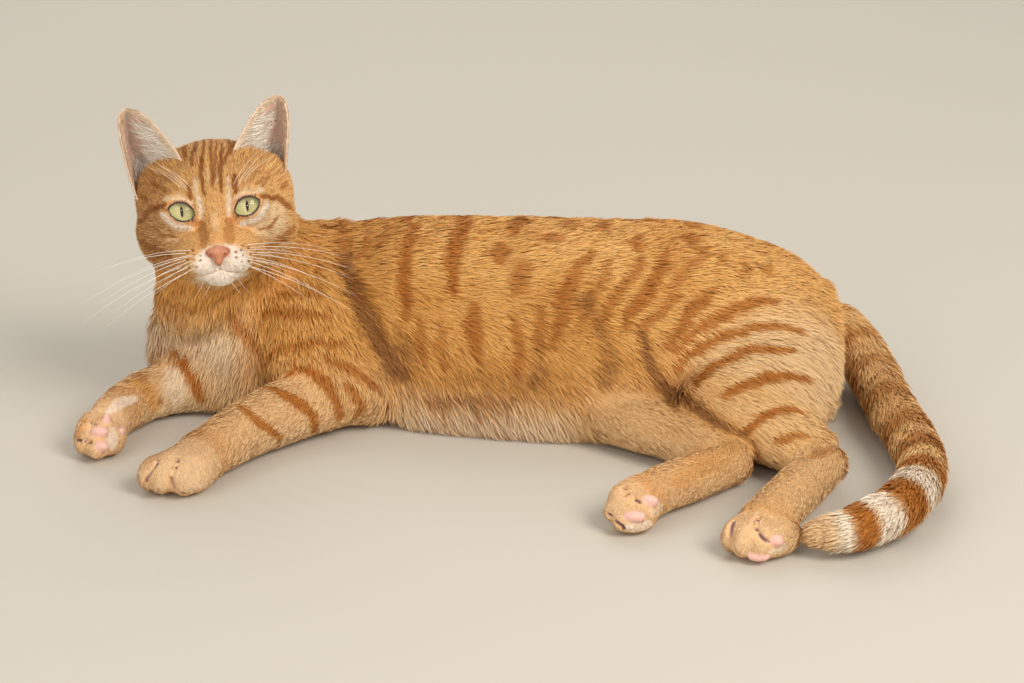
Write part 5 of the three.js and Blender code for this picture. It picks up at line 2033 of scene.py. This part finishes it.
@dataclass(frozen=True)
class Studio:
    """A pale floor, a soft world, soft lamps, one of them small for the eyes, and the camera."""

    lamps: Tuple[Lamp, ...] = (
        Lamp("key", (1.2, -1.2, 1.6), 38, 1.1), Lamp("fill", (-1.3, -1.6, 1.1), 19, 1.8),
        Lamp("back", (-0.2, 1.4, 1.6), 15, 1.5), Lamp("catch", (0.1, -1.9, 1.15), 3, 0.16))
    sensor: float = 36.0
    floor: Colour = rgb(198, 188, 170)
    sky: Colour = (0.92, 0.95, 1.0, 1)

    def build(self) -> None:
        """Makes the floor, world, lamps and camera."""
        bpy.ops.mesh.primitive_plane_add(size=8)
        floor = bpy.context.object
        floor.name = "floor"
        floor.data.materials.append(Paint("floor").finish(self.floor, 0.9))
        world = bpy.data.worlds.new("studio")
        world.use_nodes = True
        sky = world.node_tree.nodes["Background"]
        Build(world.node_tree).fill(sky, {"Color": self.sky, "Strength": 0.46})
        bpy.context.scene.world = world
        bpy.context.scene.view_settings.view_transform = "Standard"
        for lamp in self.lamps:
            light = bpy.data.lights.new(lamp.name, "AREA")
            light.energy, light.size = lamp.watts, lamp.size
            holder = bpy.data.objects.new(lamp.name, light)
            holder.location = lamp.at
            holder.rotation_euler = (-Vector(lamp.at)).to_track_quat("-Z", "Y").to_euler()
            bpy.context.scene.collection.objects.link(holder)
        camera = bpy.data.cameras.new("camera")
        camera.sensor_width, camera.lens = self.sensor, self.sensor * SIGHT.focal / (2 * SIGHT.middle[0])
        holder = bpy.data.objects.new("camera", camera)
        holder.location = MM * Vector(SIGHT.at)
        holder.rotation_mode = "QUATERNION"
        holder.rotation_quaternion = SIGHT.turn().to_quaternion()
        bpy.context.scene.collection.objects.link(holder)
        bpy.context.scene.camera = holder


# ---- the cat


def dress(piece: Piece, material: Material, slot: str, *nodes: str) -> None:
    """Gives a piece its material, parents it to the root body and hides the imported parts it stands for."""
    piece.data.materials.clear()
    piece.data.materials.append(material)
    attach(piece, "root")
    if nodes:
        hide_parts(*nodes)
    log.info("%s: %d faces", piece.name, len(piece.data.polygons))


class Cat:
    """The whole animal."""

    def __init__(self) -> None:
        """Builds the forms and the finishes."""
        self.body = Body()
        self.markings = Markings(self.body)
        self.colour = coat_colour_group()
        self.fur = TuftFinish(self.colour).make()

    def skin(self) -> None:
        """The skin with its ears, and the coat over both."""
        ears = [Ear(1), Ear(-1)]
        maker = Skin(self.body, self.markings)
        whole = maker.finish(maker.build(), [ear.build() for ear in ears])
        dress(whole, SkinFinish(self.colour).make(), "fur", *FLESH_NODES)
        for piece in Coat(self.body, self.markings, maker.vertices, maker.faces).build():
            dress(piece, self.fur, "fur")
        dress(EarCoat(ears).build(), self.fur, "fur")

    def face(self) -> None:
        """Eyes, nose and whiskers."""
        globe = PlainFinish("eye_globe", rgb(60, 40, 30), rgb(90, 60, 46), 0.3).make()
        pupil = PlainFinish("pupil", rgb(6, 6, 7), rgb(12, 11, 10), 0.2).make()
        iris, cornea = IrisFinish().make(), CorneaFinish().make()
        for name, side in (("left", 1), ("right", -1)):
            pieces = Eye(name, side).build()
            dress(pieces[0], globe, "eye", f"eye_{name}")
            for piece, finish in zip(pieces[1:], (iris, cornea, pupil)):
                dress(piece, finish, "eye")
        dress(Nose().build(), NoseFinish().make(), "leather", "nose")
        white = PlainFinish("whisker", rgb(252, 244, 228), rgb(238, 226, 206), 0.35).make()
        dress(Whiskers().build(), white, "fur")


def main() -> None:
    """Builds the cat and its studio."""
    logging.basicConfig(level=logging.INFO, format="%(name)s %(message)s")
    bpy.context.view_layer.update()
    cat = Cat()
    cat.skin()
    cat.face()
    Studio().build()


if __name__ == "__main__":
    main()
